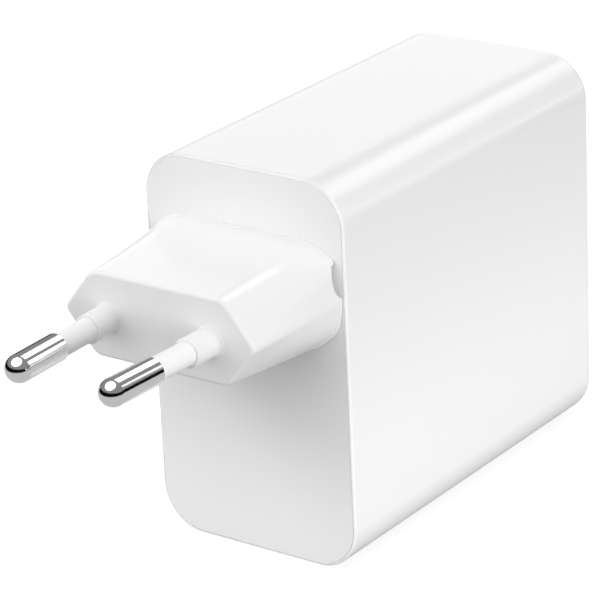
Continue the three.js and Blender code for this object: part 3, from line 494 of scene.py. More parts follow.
def stripes(tree, axis, pitch, softness):
    """A soft stripe mask across one object axis, with the given pitch in metres."""
    across = add_node(tree, "SeparateXYZ", {0: object_place(tree)}).outputs[axis]
    wave = math_node(tree, "SINE", math_node(tree, "MULTIPLY", across, math.tau / pitch))
    return remap(tree, wave, -softness, softness)


# How fine the fixed noises of the two surface groups are, in features per metre.
SKIN_CLOUDS = 60.0
SKIN_SPECKS = 4200.0
METAL_CLOUDS = 220.0


def moulded_skin(group, place, given):
    """The faint ripple, flow marks and uneven gloss of a moulded or coated surface."""
    ripple = noise_node(group, place, given["Ripple Scale"], 1.5)
    cloud = noise_node(group, place, SKIN_CLOUDS, 3.0)
    speck = noise_node(group, place, SKIN_SPECKS, 2.0)
    shade = math_node(group, "MULTIPLY", math_node(group, "SUBTRACT", cloud, 0.5), given["Mottle"])
    return weighed(group, ripple, speck, 0.8), (cloud, 0.3, 0.7), math_node(group, "ADD", shade, 1.0)


def worked_metal(group, place, given):
    """The fine lines that rolling, drawing or turning leaves on metal, with slightly darker low spots."""
    stretched = add_node(group, "VectorMath", {0: place, 1: given["Line Scale"]}, operation="MULTIPLY")
    lines = noise_node(group, stretched.outputs[0], 1.0, 3.0)
    cloud = noise_node(group, place, METAL_CLOUDS, 3.0)
    dull = math_node(group, "MULTIPLY", remap(group, cloud, 0.45, 0.7), given["Tarnish"])
    return lines, (weighed(group, lines, cloud, 0.6), 0.35, 0.65), math_node(group, "SUBTRACT", 1.0, dull)


FLOAT, VECTOR, COLOUR = "NodeSocketFloat", "NodeSocketVector", "NodeSocketColor"
SHARED_INPUTS = (
    ("Colour", COLOUR, (0.8, 0.8, 0.8, 1)), ("Gloss Low", FLOAT, 0.1), ("Gloss High", FLOAT, 0.2),
)
# Each group's drawing function and the inputs that only it has.
SURFACES = {
    "Moulded skin": (moulded_skin, (("Ripple Scale", FLOAT, 500.0), ("Mottle", FLOAT, 0.02))),
    "Worked metal": (worked_metal, (("Line Scale", VECTOR, (200.0, 6000.0, 200.0)), ("Tarnish", FLOAT, 0.1))),
}


def surface_group(name):
    """One of the shared node groups, made once; it gives a height, a roughness and a colour."""
    if name in bpy.data.node_groups:
        return bpy.data.node_groups[name]
    draw, own_inputs = SURFACES[name]
    group = bpy.data.node_groups.new(name, "ShaderNodeTree")
    for label, kind, default in SHARED_INPUTS + own_inputs:
        socket = group.interface.new_socket(name=label, in_out="INPUT", socket_type=kind)
        socket.default_value = default
    for label, kind in (("Height", FLOAT), ("Roughness", FLOAT), ("Colour", COLOUR)):
        group.interface.new_socket(name=label, in_out="OUTPUT", socket_type=kind)
    given = group.nodes.new("NodeGroupInput").outputs
    result = group.nodes.new("NodeGroupOutput").inputs
    height, rough_mask, factor = draw(group, object_place(group), given)
    roughness = remap(group, *rough_mask, given["Gloss Low"], given["Gloss High"])
    tint = add_node(group, "VectorMath", {0: given["Colour"], "Scale": factor}, operation="SCALE")
    group.links.new(height, result["Height"])
    group.links.new(roughness, result["Roughness"])
    group.links.new(tint.outputs[0], result["Colour"])
    return group


# ---------------- materials

# Patches of tracks on the boards, in cells per metre.
TRACK_CELLS = 240.0
TRACK_PITCH = 1.6 * MM
WIRE_PITCH = 0.5 * MM
WIRE_RELIEF = 0.06 * MM
LAP_PITCH = 6.2 * MM


def new_material(name, values):
    """A material whose Principled shader has the given plain values."""
    material = bpy.data.materials.new(name)
    material.use_nodes = True
    for label, value in values.items():
        material.node_tree.nodes["Principled BSDF"].inputs[label].default_value = value
    return material


def surface(name, metallic, bump_mm, group_name, tone, gloss, own_values):
    """A material with a shared group's colour and roughness, and with a relief of a real height."""
    material = new_material(name, {"Metallic": metallic})
    tree = material.node_tree
    shader = tree.nodes["Principled BSDF"]
    values = {"Colour": (*tone, 1), "Gloss Low": gloss[0], "Gloss High": gloss[1], **own_values}
    skin = add_node(tree, "Group", values, node_tree=surface_group(group_name))
    bump = add_node(tree, "Bump", {
        "Strength": 1.0, "Distance": bump_mm * MM, "Height": skin.outputs["Height"],
    })
    tree.links.new(skin.outputs["Colour"], shader.inputs["Base Color"])
    tree.links.new(skin.outputs["Roughness"], shader.inputs["Roughness"])
    tree.links.new(bump.outputs["Normal"], shader.inputs["Normal"])
    return material


def moulded(name, tone, gloss, bump_mm=0.0015, ripple=420.0, mottle=0.02):
    """A moulded or coated surface: plastics, films, tapes and dipped parts."""
    own_values = {"Ripple Scale": ripple, "Mottle": mottle}
    return surface(name, 0.0, bump_mm, "Moulded skin", tone, gloss, own_values)


def metal(name, tone, gloss, bump_mm=0.0008, lines=(200.0, 6000.0, 200.0), tarnish=0.1):
    """A worked metal surface: pins, strips, springs, cans and shells."""
    own_values = {"Line Scale": lines, "Tarnish": tarnish}
    return surface(name, 1.0, bump_mm, "Worked metal", tone, gloss, own_values)


def recolour(tree, mask, low=None, high=None):
    """Mixes the base colour by a mask; a colour that isn't given is the one that is there already."""
    base = tree.nodes["Principled BSDF"].inputs["Base Color"]
    covered = base.links[0].from_socket
    node = add_node(tree, "Mix", {"Factor": mask}, data_type="RGBA")
    for name, tone in (("A", low), ("B", high)):
        socket = next(s for s in node.inputs if s.name == name and s.type == "RGBA")
        if tone:
            socket.default_value = (*tone, 1)
        else:
            tree.links.new(covered, socket)
    tree.links.new(next(s for s in node.outputs if s.type == "RGBA"), base)


def shaded(tone, factor, lift=0.0):
    return tuple(min(1.0, part * factor + lift) for part in tone)


def add_tracks(tree, tone):
    """Patches of copper tracks, which show through the solder resist."""
    inputs = {"Scale": TRACK_CELLS, "Vector": object_place(tree)}
    cells = add_node(tree, "TexVoronoi", inputs, distance="CHEBYCHEV")
    patches = remap(tree, cells.outputs["Distance"], 0.35, 0.45)
    tracks = math_node(tree, "MULTIPLY", stripes(tree, "Z", TRACK_PITCH, 1 / 3), patches)
    recolour(tree, tracks, high=shaded(tone, 2.2, 0.01))


def add_wires_and_gap_shade(tree, tone):
    """Enamelled wires that lie side by side, as relief, and as colour with a painted shade in the gaps
    between them.
    """
    wires = stripes(tree, "X", WIRE_PITCH, 1.0)
    bump = next(node for node in tree.nodes if node.type == "BUMP")
    bump.inputs["Distance"].default_value = WIRE_RELIEF
    tree.links.new(wires, bump.inputs["Height"])
    # Where the wires dip, the copper is darkened to a painted shade of the gaps between them.
    recolour(tree, wires, low=shaded(tone, 0.35))


def add_laps(tree, tone):
    """The lapped edges of film tape, every few millimetres."""
    recolour(tree, stripes(tree, "Z", LAP_PITCH, 1 / 1.2), low=shaded(tone, 0.82))


def let_through(tree, share_of_light):
    tree.nodes["Principled BSDF"].inputs["Transmission Weight"].default_value = share_of_light


# Each slot's kind of surface, its colour's name, its lowest and highest roughness, and its other values.
FINISHES = {
    "white_gloss_plastic": (moulded, "white_gloss", (0.05, 0.08), {"bump_mm": 0.0012, "mottle": 0.01}),
    "white_satin_plastic": (
        moulded, "white_satin", (0.2, 0.28), {"bump_mm": 0.002, "ripple": 700.0, "mottle": 0.015}),
    "polished_nickel": (metal, "nickel", (0.03, 0.06), {"bump_mm": 0.0003, "tarnish": 0.04}),
    "brass": (metal, "brass", (0.16, 0.28), {"tarnish": 0.2}),
    "spring_steel": (metal, "steel", (0.2, 0.3), {"lines": (300.0, 300.0, 9000.0)}),
    "aluminium": (metal, "aluminium", (0.3, 0.42), {"lines": (8000.0, 250.0, 250.0), "tarnish": 0.12}),
    "clear_sheet": (moulded, "film", (0.28, 0.4), {"bump_mm": 0.006, "ripple": 160.0, "mottle": 0.08}),
    "board_green": (moulded, "board", (0.32, 0.42), {"bump_mm": 0.004, "ripple": 900.0, "mottle": 0.2}),
    "copper": (metal, "copper", (0.22, 0.34), {"tarnish": 0.2}),
    "ferrite": (moulded, "ferrite", (0.62, 0.78), {"bump_mm": 0.02, "ripple": 2600.0, "mottle": 0.5}),
    "black_plastic": (moulded, "black", (0.34, 0.46), {"bump_mm": 0.008, "ripple": 3000.0, "mottle": 0.3}),
    "yellow_tape": (moulded, "tape", (0.25, 0.36), {"bump_mm": 0.01, "ripple": 700.0, "mottle": 0.12}),
    "blue_sleeve": (moulded, "sleeve", (0.16, 0.26), {"bump_mm": 0.006, "ripple": 500.0, "mottle": 0.2}),
    "green_disc": (moulded, "disc", (0.34, 0.48), {"bump_mm": 0.02, "ripple": 900.0, "mottle": 0.3}),
    "grey_pad": (moulded, "pad", (0.7, 0.85), {"bump_mm": 0.02, "ripple": 2000.0, "mottle": 0.2}),
    "glass_tube": (moulded, "glass", (0.04, 0.08), {"bump_mm": 0.0005, "ripple": 300.0}),
}
EXTRAS = {
    "board_green": add_tracks,
    "copper": add_wires_and_gap_shade,
    "yellow_tape": add_laps,
    "clear_sheet": lambda tree, tone: let_through(tree, 0.35),
    "glass_tube": lambda tree, tone: let_through(tree, 0.6),
}


def finish(slot_name):
    """The material of one of the finish slots, made once."""
    if slot_name not in bpy.data.materials:
        maker, tone_name, gloss, values = FINISHES[slot_name]
        tone = getattr(bpy.context.scene.adapter_colours, tone_name)
        material = maker(slot_name, tone, gloss, **values)
        if slot_name in EXTRAS:
            EXTRAS[slot_name](material.node_tree, tone)
    return bpy.data.materials[slot_name]


# ---------------- case

# The socket's ends are round but for a short flat, so that their two arcs never meet.
PORT_ROUND_SHARE = 0.985
INLET_FOOT_BEVEL = 0.15 * MM
INLET_NOSE_SHARE = 0.45


def case_loft(name, case, stations):
    """A solid with the case's outline, from (depth, inset) stations."""
    sections = []
    for depth, inward in stations:
        radius = case.corner_radius - inward
        outline = rounded_rectangle(
            HALF_WIDTH - inward, inward, CASE_HEIGHT - inward, radius, CASE_CORNER_STEPS)
        sections.append((depth, outline))
    return loft(name, sections)


def port_loft(name, port, stations):
    """A solid with the socket's long outline, from (depth, growth) stations."""
    sections = []
    for depth, grow in stations:
        half_short = port.short_side / 2 + grow
        half_long = port.long_side / 2 + grow
        low, high = PORT_CENTRE_Z - half_long, PORT_CENTRE_Z + half_long
        radius = half_short * PORT_ROUND_SHARE
        sections.append((depth, rounded_rectangle(half_short, low, high, radius, PORT_CORNER_STEPS)))
    return loft(name, sections)


def boss_outline(boss, inward):
    """The boss's outline moved inwards, or outwards where the distance is negative."""
    low, high = HEAD_CENTRE_Z - boss.height / 2, HEAD_CENTRE_Z + boss.height / 2
    radius = boss.corner_radius - inward
    return rounded_rectangle(boss.width / 2 - inward, low + inward, high - inward, radius)


def inlet_axis(side):
    """The placement of an inlet pin, and of the bores round it."""
    low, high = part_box(f"inlet_pin_{side}")
    middle = (low + high) / 2
    return Matrix.Translation((middle.x, 0, middle.z))


class AdapterBuildSleeve(bpy.types.Operator):
    """Builds the deep sleeve with its rounded long edges, rear wall, port opening and board rails"""

    bl_idname = "adapter.build_sleeve"
    bl_label = "Build Sleeve"

    def execute(self, context):
        case = context.scene.adapter_case
        port = context.scene.adapter_port
        rim = [(FRONT_Y + back, turn) for back, turn in quarter_round(case.rim_radius)]
        rear = [(REAR_Y - back, turn) for back, turn in quarter_round(case.rear_edge_radius)]
        shell = case_loft("sleeve", case, sorted(rim + rear))
        inner_rear = REAR_Y - case.wall
        flare = case.rim_width - case.seam_bevel
        seat = case_loft("cover_seat", case, [
            (FRONT_Y - PAST, flare),
            (FRONT_Y, flare),
            (FRONT_Y + case.seam_bevel, case.rim_width),
            (FRONT_Y + case.cover_thickness + SEAT, case.rim_width),
        ])
        cavity = case_loft("cavity", case, [(FRONT_Y - PAST, case.wall), (inner_rear, case.wall)])
        opening = port_loft("opening", port, [
            (inner_rear - PAST, SEAT),
            (REAR_Y - port.mouth_bevel, SEAT),
            (REAR_Y + PAST, SEAT + port.mouth_bevel + PAST),
        ])
        combine(shell, cuts=(seat, cavity, opening))
        combine(shell, joins=self.rails(case, inner_rear))
        dress(shell, "white_gloss_plastic", "case", "housing_shell")
        return {"FINISHED"}

    def rails(self, case, inner_rear):
        """Two pairs of ribs that hold the circuit board's edges."""
        board_low, board_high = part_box("main_board")
        start, stop = inner_rear - SEAT - case.rail_length, inner_rear + SEAT
        floor, ceiling = case.wall, CASE_HEIGHT - case.wall
        spans = ((floor - SEAT, floor + case.rail_height), (ceiling - case.rail_height, ceiling + SEAT))
        ribs = []
        for x in (board_low.x - SEAT - case.rail_thickness, board_high.x + SEAT):
            for low, high in spans:
                ribs.append(block("rib", (x, start, low), (x + case.rail_thickness, stop, high)))
        return ribs


class AdapterBuildCover(bpy.types.Operator):
    """Builds the front cover with its rounded edge, its inner ring and the boss that carries the plug head"""

    bl_idname = "adapter.build_cover"
    bl_label = "Build Cover"

    def execute(self, context):
        case = context.scene.adapter_case
        boss = context.scene.adapter_boss
        edge = case.rim_width + case.seam_gap
        back_face = FRONT_Y + case.cover_thickness
        rounding = quarter_round(case.seam_round, FINE_ROUND_STEPS)
        stations = sorted((FRONT_Y + back, edge + turn) for back, turn in rounding)
        cover = case_loft("cover", case, stations + [(back_face, edge)])
        outside = case.wall + SEAT
        inside = outside + case.spigot_wall
        ring = case_loft("ring", case, [(back_face - SEAT, outside), (SPIGOT_REAR_Y, outside)])
        hollow = case_loft("hollow", case, [(back_face, inside), (SPIGOT_REAR_Y + PAST, inside)])
        combine(ring, cuts=(hollow,))
        combine(cover, joins=(ring, self.boss(boss)))
        combine(cover, cuts=self.hollows(boss))
        dress(cover, "white_gloss_plastic", "case", "front_cover")
        return {"FINISHED"}

    def boss(self, boss):
        """The block that the plug head slides over, rounded round its end."""
        end = FRONT_Y - boss.length
        rounding = sorted(quarter_round(boss.end_round, SMALL_ROUND_STEPS))
        sections = [(end + back, boss_outline(boss, turn)) for back, turn in rounding]
        sections.append((FRONT_Y + SEAT, sections[-1][1]))
        return loft("boss", sections)

    def hollows(self, boss):
        """The inlet pins' bores and the pockets for the detent springs."""
        radius = boss.inlet_diameter / 2 + boss.bore_clearance
        start, stop = -(INLET_FOOT_Y + PAST), -(FRONT_Y - boss.length - PAST)
        cutters = []
        for side, sign in SIDES:
            cutters.append(bar("bore", radius, start, stop, inlet_axis(side)))
            near, far = sorted((sign * (boss.width / 2 - boss.spring_depth), sign * (boss.width / 2 + PAST)))
            cutters.append(block(
                "pocket",
                (near, FRONT_Y - boss.spring_length, HEAD_CENTRE_Z - boss.spring_height / 2),
                (far, FRONT_Y - SEAT, HEAD_CENTRE_Z + boss.spring_height / 2),
            ))
        return cutters


class AdapterBuildInletPins(bpy.types.Operator):
    """Builds the round-nosed brass inlet pins that stand out of the boss"""

    bl_idname = "adapter.build_inlet_pins"
    bl_label = "Build Inlet Pins"

    def execute(self, context):
        radius = context.scene.adapter_boss.inlet_diameter / 2
        nose = list(reversed(quarter_round(radius * INLET_NOSE_SHARE)))
        for side, _ in SIDES:
            low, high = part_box(f"inlet_pin_{side}")
            foot, tip = -high.y, -low.y
            profile = [(0, foot), (radius - INLET_FOOT_BEVEL, foot), (radius, foot + INLET_FOOT_BEVEL)]
            profile += [(radius - turn, tip - back) for back, turn in nose]
            profile.append((0, tip))
            pin = turned(f"round_inlet_pin_{side}", profile, inlet_axis(side))
            dress(pin, "brass", "case", f"inlet_pin_{side}")
        return {"FINISHED"}


# ---------------- plug head

# The least share of a corner's radius that is left when the head's outline moves inwards.
LEAST_RADIUS_SHARE = 0.3
BODY_STEPS = 6
BEAD_STEPS = 12
FLARE_STEPS = 8
DOME_STEPS = 16
PLATE_BEVEL = 0.2 * MM
BORE_LEAD = 0.4 * MM


def head_corners(head, along):
    """The head's ten corners at a share of its length: 0 at the pin face, 1 at the cover."""
    flat = between(head.front_flat, head.rear_flat, along)
    half = between(head.front_half_height, head.rear_half_height, along)
    slope = head.shoulder_share
    front_shoulder_x = head.tip_half_width - slope * (head.tip_half_width - head.front_flat)
    front_shoulder_z = slope * head.front_half_height
    shoulder_x = between(front_shoulder_x, head.rear_shoulder, along)
    upper = between(front_shoulder_z, head.upper_shoulder, along)
    lower = between(front_shoulder_z, head.lower_shoulder, along)
    right = [(head.tip_half_width, 0), (shoulder_x, upper), (flat, half)]
    left = [(-x, z) for x, z in reversed(right)]
    under = [(-shoulder_x, -lower), (-flat, -half), (flat, -half), (shoulder_x, -lower)]
    return [Vector(p) for p in right + left + under]


def head_outline(head, distance, inward):
    """The head's outline at a distance behind the pin face, moved inwards."""
    along = distance / head.length
    ridge, lower = head.ridge_radius, head.lower_radius
    upper = between(head.upper_radius, head.upper_rear_radius, along)
    radii = [ridge, 0, upper, upper, 0, ridge, 0, lower, lower, 0]
    radii = [max(radius - inward, radius * LEAST_RADIUS_SHARE) for radius in radii]
    spreads = [head.ridge_spread, head.shoulder_spread, 0, 0, head.shoulder_spread] * 2
    corners = inset(head_corners(head, along), inward)
    raised = Vector((0, HEAD_CENTRE_Z))
    return [point + raised for point in rounded(corners, radii, ROUND_STEPS, spreads)]


def pin_placement(pins, sign):
    """The leaning axis of one pin, with its root on the pin face."""
    lean = math.atan((pins.spacing - pins.tip_spacing) / 2 / pins.reach)
    face = FRONT_Y - bpy.context.scene.adapter_head.length
    root = (sign * pins.spacing / 2, face, HEAD_CENTRE_Z - pins.drop)
    return Matrix.Translation(root) @ Matrix.Rotation(-sign * lean, 4, "Z")


class AdapterBuildHead(bpy.types.Operator):
    """Builds the six-sided plug head with its bead, grip notches, pocket and pin collars"""

    bl_idname = "adapter.build_head"
    bl_label = "Build Plug Head"

    def execute(self, context):
        head = context.scene.adapter_head
        pins = context.scene.adapter_pins
        boss = context.scene.adapter_boss
        face = FRONT_Y - head.length
        stations = sorted(quarter_round(head.face_radius) + self.bead(head))
        shell = loft("head", [(face + back, head_outline(head, back, turn)) for back, turn in stations])
        collars = [self.collar(head, pins, sign) for _, sign in SIDES]
        combine(shell, joins=collars)
        bores = [self.bore(head, pins, sign) for _, sign in SIDES]
        notches = [self.notch(head, sign) for _, sign in SIDES]
        outline = boss_outline(boss, -SEAT)
        pocket = loft("pocket", [(depth, outline) for depth in (face + head.face_wall, FRONT_Y + PAST)])
        combine(shell, cuts=[pocket, *bores, *notches])
        dress(shell, "white_gloss_plastic", "plug_head", "plug_head_shell")
        return {"FINISHED"}

    def bead(self, head):
        """The straight body and the small raised bead at the cover, as (distance, inset) stations."""
        start = head.face_radius
        root = head.length - head.cover_gap - head.bead_width
        stations = [(start + (root - start) * step / BODY_STEPS, 0.0) for step in range(1, BODY_STEPS)]
        for angle in arc(math.pi, BEAD_STEPS):
            distance = root + head.bead_width * (0.5 - 0.5 * math.cos(angle))
            stations.append((distance, -math.sin(angle) * head.bead_rise))
        return stations

    def collar(self, head, pins, sign):
        """A moulded collar whose root flares into the pin face."""
        root = -head.face_wall / 2
        radius, flare = pins.collar_diameter / 2, pins.flare_diameter / 2
        profile = [(0, root), (flare, root)]
        for angle in arc(QUARTER_TURN, FLARE_STEPS):
            out = pins.flare_height * (1 - math.cos(angle))
            profile.append((flare - (flare - radius) * math.sin(angle), out))
        for back, turn in reversed(quarter_round(pins.collar_round, SMALL_ROUND_STEPS)):
            profile.append((radius - turn, pins.collar_length - back))
        profile.append((0, pins.collar_length))
        return turned("collar", profile, pin_placement(pins, sign), PIN_TURN_STEPS)

    def bore(self, head, pins, sign):
        radius = pins.shank_diameter / 2 + pins.bore_clearance
        start, stop = -head.face_wall - 2 * PAST, pins.collar_length + PAST
        return bar("bore", radius, start, stop, pin_placement(pins, sign))

    def notch(self, head, sign):
        """A round bar across the head's rear edge that leaves the grip notch."""
        radius = (head.notch_chord ** 2 / 4 + head.notch_depth ** 2) / (2 * head.notch_depth)
        width = head.tip_half_width + PAST - head.notch_inner
        middle = Vector((
            sign * (head.notch_inner + width / 2),
            FRONT_Y - SEAT - head.notch_depth + radius,
            HEAD_CENTRE_Z + head.notch_rise,
        ))
        place = Matrix.Translation(middle) @ Matrix.Rotation(QUARTER_TURN, 4, "Z")
        return bar("notch", radius, -width / 2, width / 2, place, NOTCH_TURN_STEPS)


class AdapterBuildPins(bpy.types.Operator):
    """Builds the bright round-ended plug pins and their white sleeves"""

    bl_idname = "adapter.build_pins"
    bl_label = "Build Pins"

    def execute(self, context):
        pins = context.scene.adapter_pins
        for side, sign in SIDES:
            place = pin_placement(pins, sign)
            pin = turned(f"bright_pin_{side}", self.pin_profile(pins, side), place, PIN_TURN_STEPS)
            dress(pin, "polished_nickel", "plug_head", f"plug_pin_{side}")
            sleeve = turned(f"white_sleeve_{side}", self.sleeve_profile(pins), place, PIN_TURN_STEPS)
            dress(sleeve, "white_satin_plastic", "plug_head", f"pin_sleeve_{side}")
        return {"FINISHED"}

    def pin_profile(self, pins, side):
        """From the riveted tail to the round tip."""
        tail = FRONT_Y - bpy.context.scene.adapter_head.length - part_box(f"plug_pin_{side}")[1].y
        shank, radius = pins.shank_diameter / 2, pins.head_diameter / 2
        start = pins.reach - pins.head_length
        rounding = quarter_round(pins.head_round, FINE_ROUND_STEPS)
        profile = [(0, tail), (shank, tail), (shank, start)]
        profile += [(radius - turn, start + back) for back, turn in rounding]
        for angle in arc(QUARTER_TURN, DOME_STEPS):
            profile.append((radius * math.cos(angle), pins.reach - radius + radius * math.sin(angle)))
        profile[-1] = (0, pins.reach)
        return profile

    def sleeve_profile(self, pins):
        """A tube between the collar and the bright end."""
        bore = pins.shank_diameter / 2 + pins.bore_clearance
        radius = pins.sleeve_diameter / 2
        low, high = pins.collar_length + pins.seam_gap, pins.reach - pins.head_length - HAIR
        rounding = reversed(quarter_round(pins.sleeve_fillet, SMALL_ROUND_STEPS))
        fillet = [(radius + back, low + turn) for back, turn in rounding]
        return [(bore, low), *fillet, (radius, high), (bore, high), (bore, low)]


class AdapterBuildHeadBack(bpy.types.Operator):
    """Builds the plate that closes the head's pocket, with a bore for each inlet pin"""

    bl_idname = "adapter.build_head_back"
    bl_label = "Build Head Back"

    def execute(self, context):
        boss = context.scene.adapter_boss
        low, high = HEAD_BACK_LOW, HEAD_BACK_HIGH

        def outline(inward):
            radius = boss.corner_radius - inward
            return rounded_rectangle(high.x - inward, low.z + inward, high.z - inward, radius)
        plate = loft("head_back", [
            (low.y, outline(0)), (high.y - PLATE_BEVEL, outline(0)), (high.y, outline(PLATE_BEVEL)),
        ])
        radius = boss.inlet_diameter / 2 + 2 * boss.bore_clearance
        mouth = radius + BORE_LEAD
        near, far = -high.y, -low.y + PAST
        profile = [
            (0, near - PAST), (mouth + PAST, near - PAST), (mouth, near),
            (radius, near + BORE_LEAD), (radius, far), (0, far),
        ]
        combine(plate, cuts=[turned("bore", profile, inlet_axis(side)) for side, _ in SIDES])
        dress(plate, "white_satin_plastic", "plug_head", "plug_head_back")
        return {"FINISHED"}


# ---------------- output socket

SOCKET_LIP = 0.12 * MM
BLADE_NOSE = 0.2 * MM
BLADE_ROUND_SHARE = 0.9


class AdapterBuildSocket(bpy.types.Operator):
    """Builds the reversible output socket: its metal shell, its tongue and the contact strips"""

    bl_idname = "adapter.build_socket"
    bl_label = "Build Output Socket"

    def execute(self, context):
        port = context.scene.adapter_port
        low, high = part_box("output_socket_shell")
        lip_root = high.y - SOCKET_LIP
        outer = port_loft("socket_shell", port, [(low.y, 0.0), (lip_root, 0.0), (high.y, -SOCKET_LIP)])
        inner = port_loft("inner", port, [
            (low.y - PAST, -port.wall),
            (lip_root, -port.wall),
            (high.y + SOCKET_LIP, -port.wall + 2 * SOCKET_LIP),
        ])
        combine(outer, cuts=(inner,))
        dress(outer, "polished_nickel", "case", "output_socket_shell")
        low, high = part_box("output_socket_tongue")
        self.tongue(port, low.y, high.y)
        self.strips(port, low.y + port.base_length, high.y - 2 * BLADE_NOSE)
        return {"FINISHED"}

    def tongue(self, port, rear, end):
        """The contact blade on its base block."""
        clearance = -(port.wall + SEAT / 3)
        base = port_loft("socket_tongue", port, [(rear, clearance), (rear + port.base_length, clearance)])
        half, reach = port.tongue_thickness / 2, port.tongue_width / 2

        def outline(inward, radius):
            low, high = PORT_CENTRE_Z - reach + inward, PORT_CENTRE_Z + reach - inward
            return rounded_rectangle(half - inward, low, high, radius, SMALL_ROUND_STEPS)
        full = outline(0, half * BLADE_ROUND_SHARE)
        blade = loft("blade", [
            (rear + SEAT, full), (end - BLADE_NOSE, full), (end, outline(BLADE_NOSE, BLADE_NOSE / 2)),
        ])
        combine(base, joins=(blade,))
        dress(base, "black_plastic", "case", "output_socket_tongue")

    def strips(self, port, start, stop):
        """The contact strips on both sides of the blade, as one piece."""
        half = port.tongue_thickness / 2

        def fill(work):
            for index in range(port.contact_count):
                z = PORT_CENTRE_Z + (index - (port.contact_count - 1) / 2) * port.contact_pitch
                low, high = z - port.contact_width / 2, z + port.contact_width / 2
                for sign in (-1, 1):
                    near, far = sorted((sign * (half - port.contact_rise), sign * (half + port.contact_rise)))
                    add_block(work, (near, start, low), (far, stop, high))
        dress(new_piece("socket_contact_strips", fill), "brass", "case")


# ---------------- pieces inside, which keep their CAD shape

INSIDE = {
    "brass": ("socket_contact_left", "socket_contact_right"),
    "spring_steel": ("detent_spring_left", "detent_spring_right"),
    "aluminium": (
        "heat_spreader_left", "heat_spreader_right", "transistor_heat_sink",
        "output_capacitor_lower", "output_capacitor_upper",
    ),
    "clear_sheet": ("insulation_sheet_left", "insulation_sheet_right"),
    "board_green": ("main_board", "output_board"),
    "copper": ("mains_strip_left", "mains_strip_right", "choke_winding_lower", "choke_winding_upper"),
    "ferrite": ("choke_core", "transformer_core_lower", "transformer_core_upper"),
    "black_plastic": (
        "bridge_rectifier", "transformer_bobbin", "switching_transistor", "optocoupler",
        "primary_controller", "output_rectifier", "board_header",
    ),
    "yellow_tape": ("mains_filter_capacitor", "transformer_winding"),
    "blue_sleeve": ("bulk_capacitor_lower", "bulk_capacitor_upper", "bridging_capacitor"),
    "green_disc": ("inrush_thermistor",),
    "grey_pad": ("thermal_pad",),
    "glass_tube": ("fuse",),
}
# Bevel widths in millimetres; the other slots have the usual one.
EDGE_BREAK = {"aluminium": 0.1, "clear_sheet": 0.05, "board_green": 0.08, "yellow_tape": 0.5, "grey_pad": 0.3}
USUAL_EDGE_BREAK = 0.15
EDGE_SEGMENTS = 2
EDGE_ANGLE = math.radians(40)
WELD_REACH = 0.001 * MM


class AdapterDressInside(bpy.types.Operator):
    """Gives the circuit's pieces their finishes and breaks their sharp edges"""

    bl_idname = "adapter.dress_inside"
    bl_label = "Dress Inside"

    def execute(self, context):
        for slot_name, nodes in INSIDE.items():
            for name in nodes:
                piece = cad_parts[name]
                give_finish(piece, slot_name)
                weld = piece.modifiers.new("Shared corners", "WELD")
                weld.merge_threshold = WELD_REACH
                edge = piece.modifiers.new("Broken edges", "BEVEL")
                edge.width = EDGE_BREAK.get(slot_name, USUAL_EDGE_BREAK) * MM
                edge.segments = EDGE_SEGMENTS
                edge.limit_method = "ANGLE"
                edge.angle_limit = EDGE_ANGLE
        return {"FINISHED"}


# ---------------- stage

FLOOR_RADIUS = 6.0
FLOOR_ROUGHNESS = 0.9
CARD_TONE = 0.004
CARD_INNER_RADIUS = 0.24
CARD_OUTER_RADIUS = 0.3
CARD_BASE = 0.0005
CARD_TOP = 0.096
STAGE_STEPS = 96
SENSOR_WIDTH_MM = 36.0
NEAREST, FARTHEST = 0.01, 50.0


class Lamp(NamedTuple):
    """A lamp: lengths in metres, and the pieces it lights, or all where none are named."""

    name: str
    place: tuple
    target: tuple
    width: float
    height: float
    radiance: float
    lights: tuple = ()
    mirrored: bool = False
    oval: bool = False


FRONT_MIDDLE = (0, FRONT_Y, PORT_CENTRE_Z)
SIDE_MIDDLE = (HALF_WIDTH, 0, PORT_CENTRE_Z)
REAR_MIDDLE = (0, REAR_Y, PORT_CENTRE_Z)
HEAD_MIDDLE = (0, FRONT_Y - 10 * MM, HEAD_CENTRE_Z)
PIN_MIDDLE = (0, FRONT_Y - 40 * MM, HEAD_CENTRE_Z)
CASE_MIDDLE = (0, 0, 50 * MM)
COVER = ("cover",)
SLEEVE = ("sleeve",)
WHITE_SLEEVES = ("white_sleeve_left", "white_sleeve_right")
HEAD = ("head", *WHITE_SLEEVES)
PINS = ("bright_pin_left", "bright_pin_right")
CASE = SLEEVE + COVER
CASE_AND_HEAD = CASE + HEAD

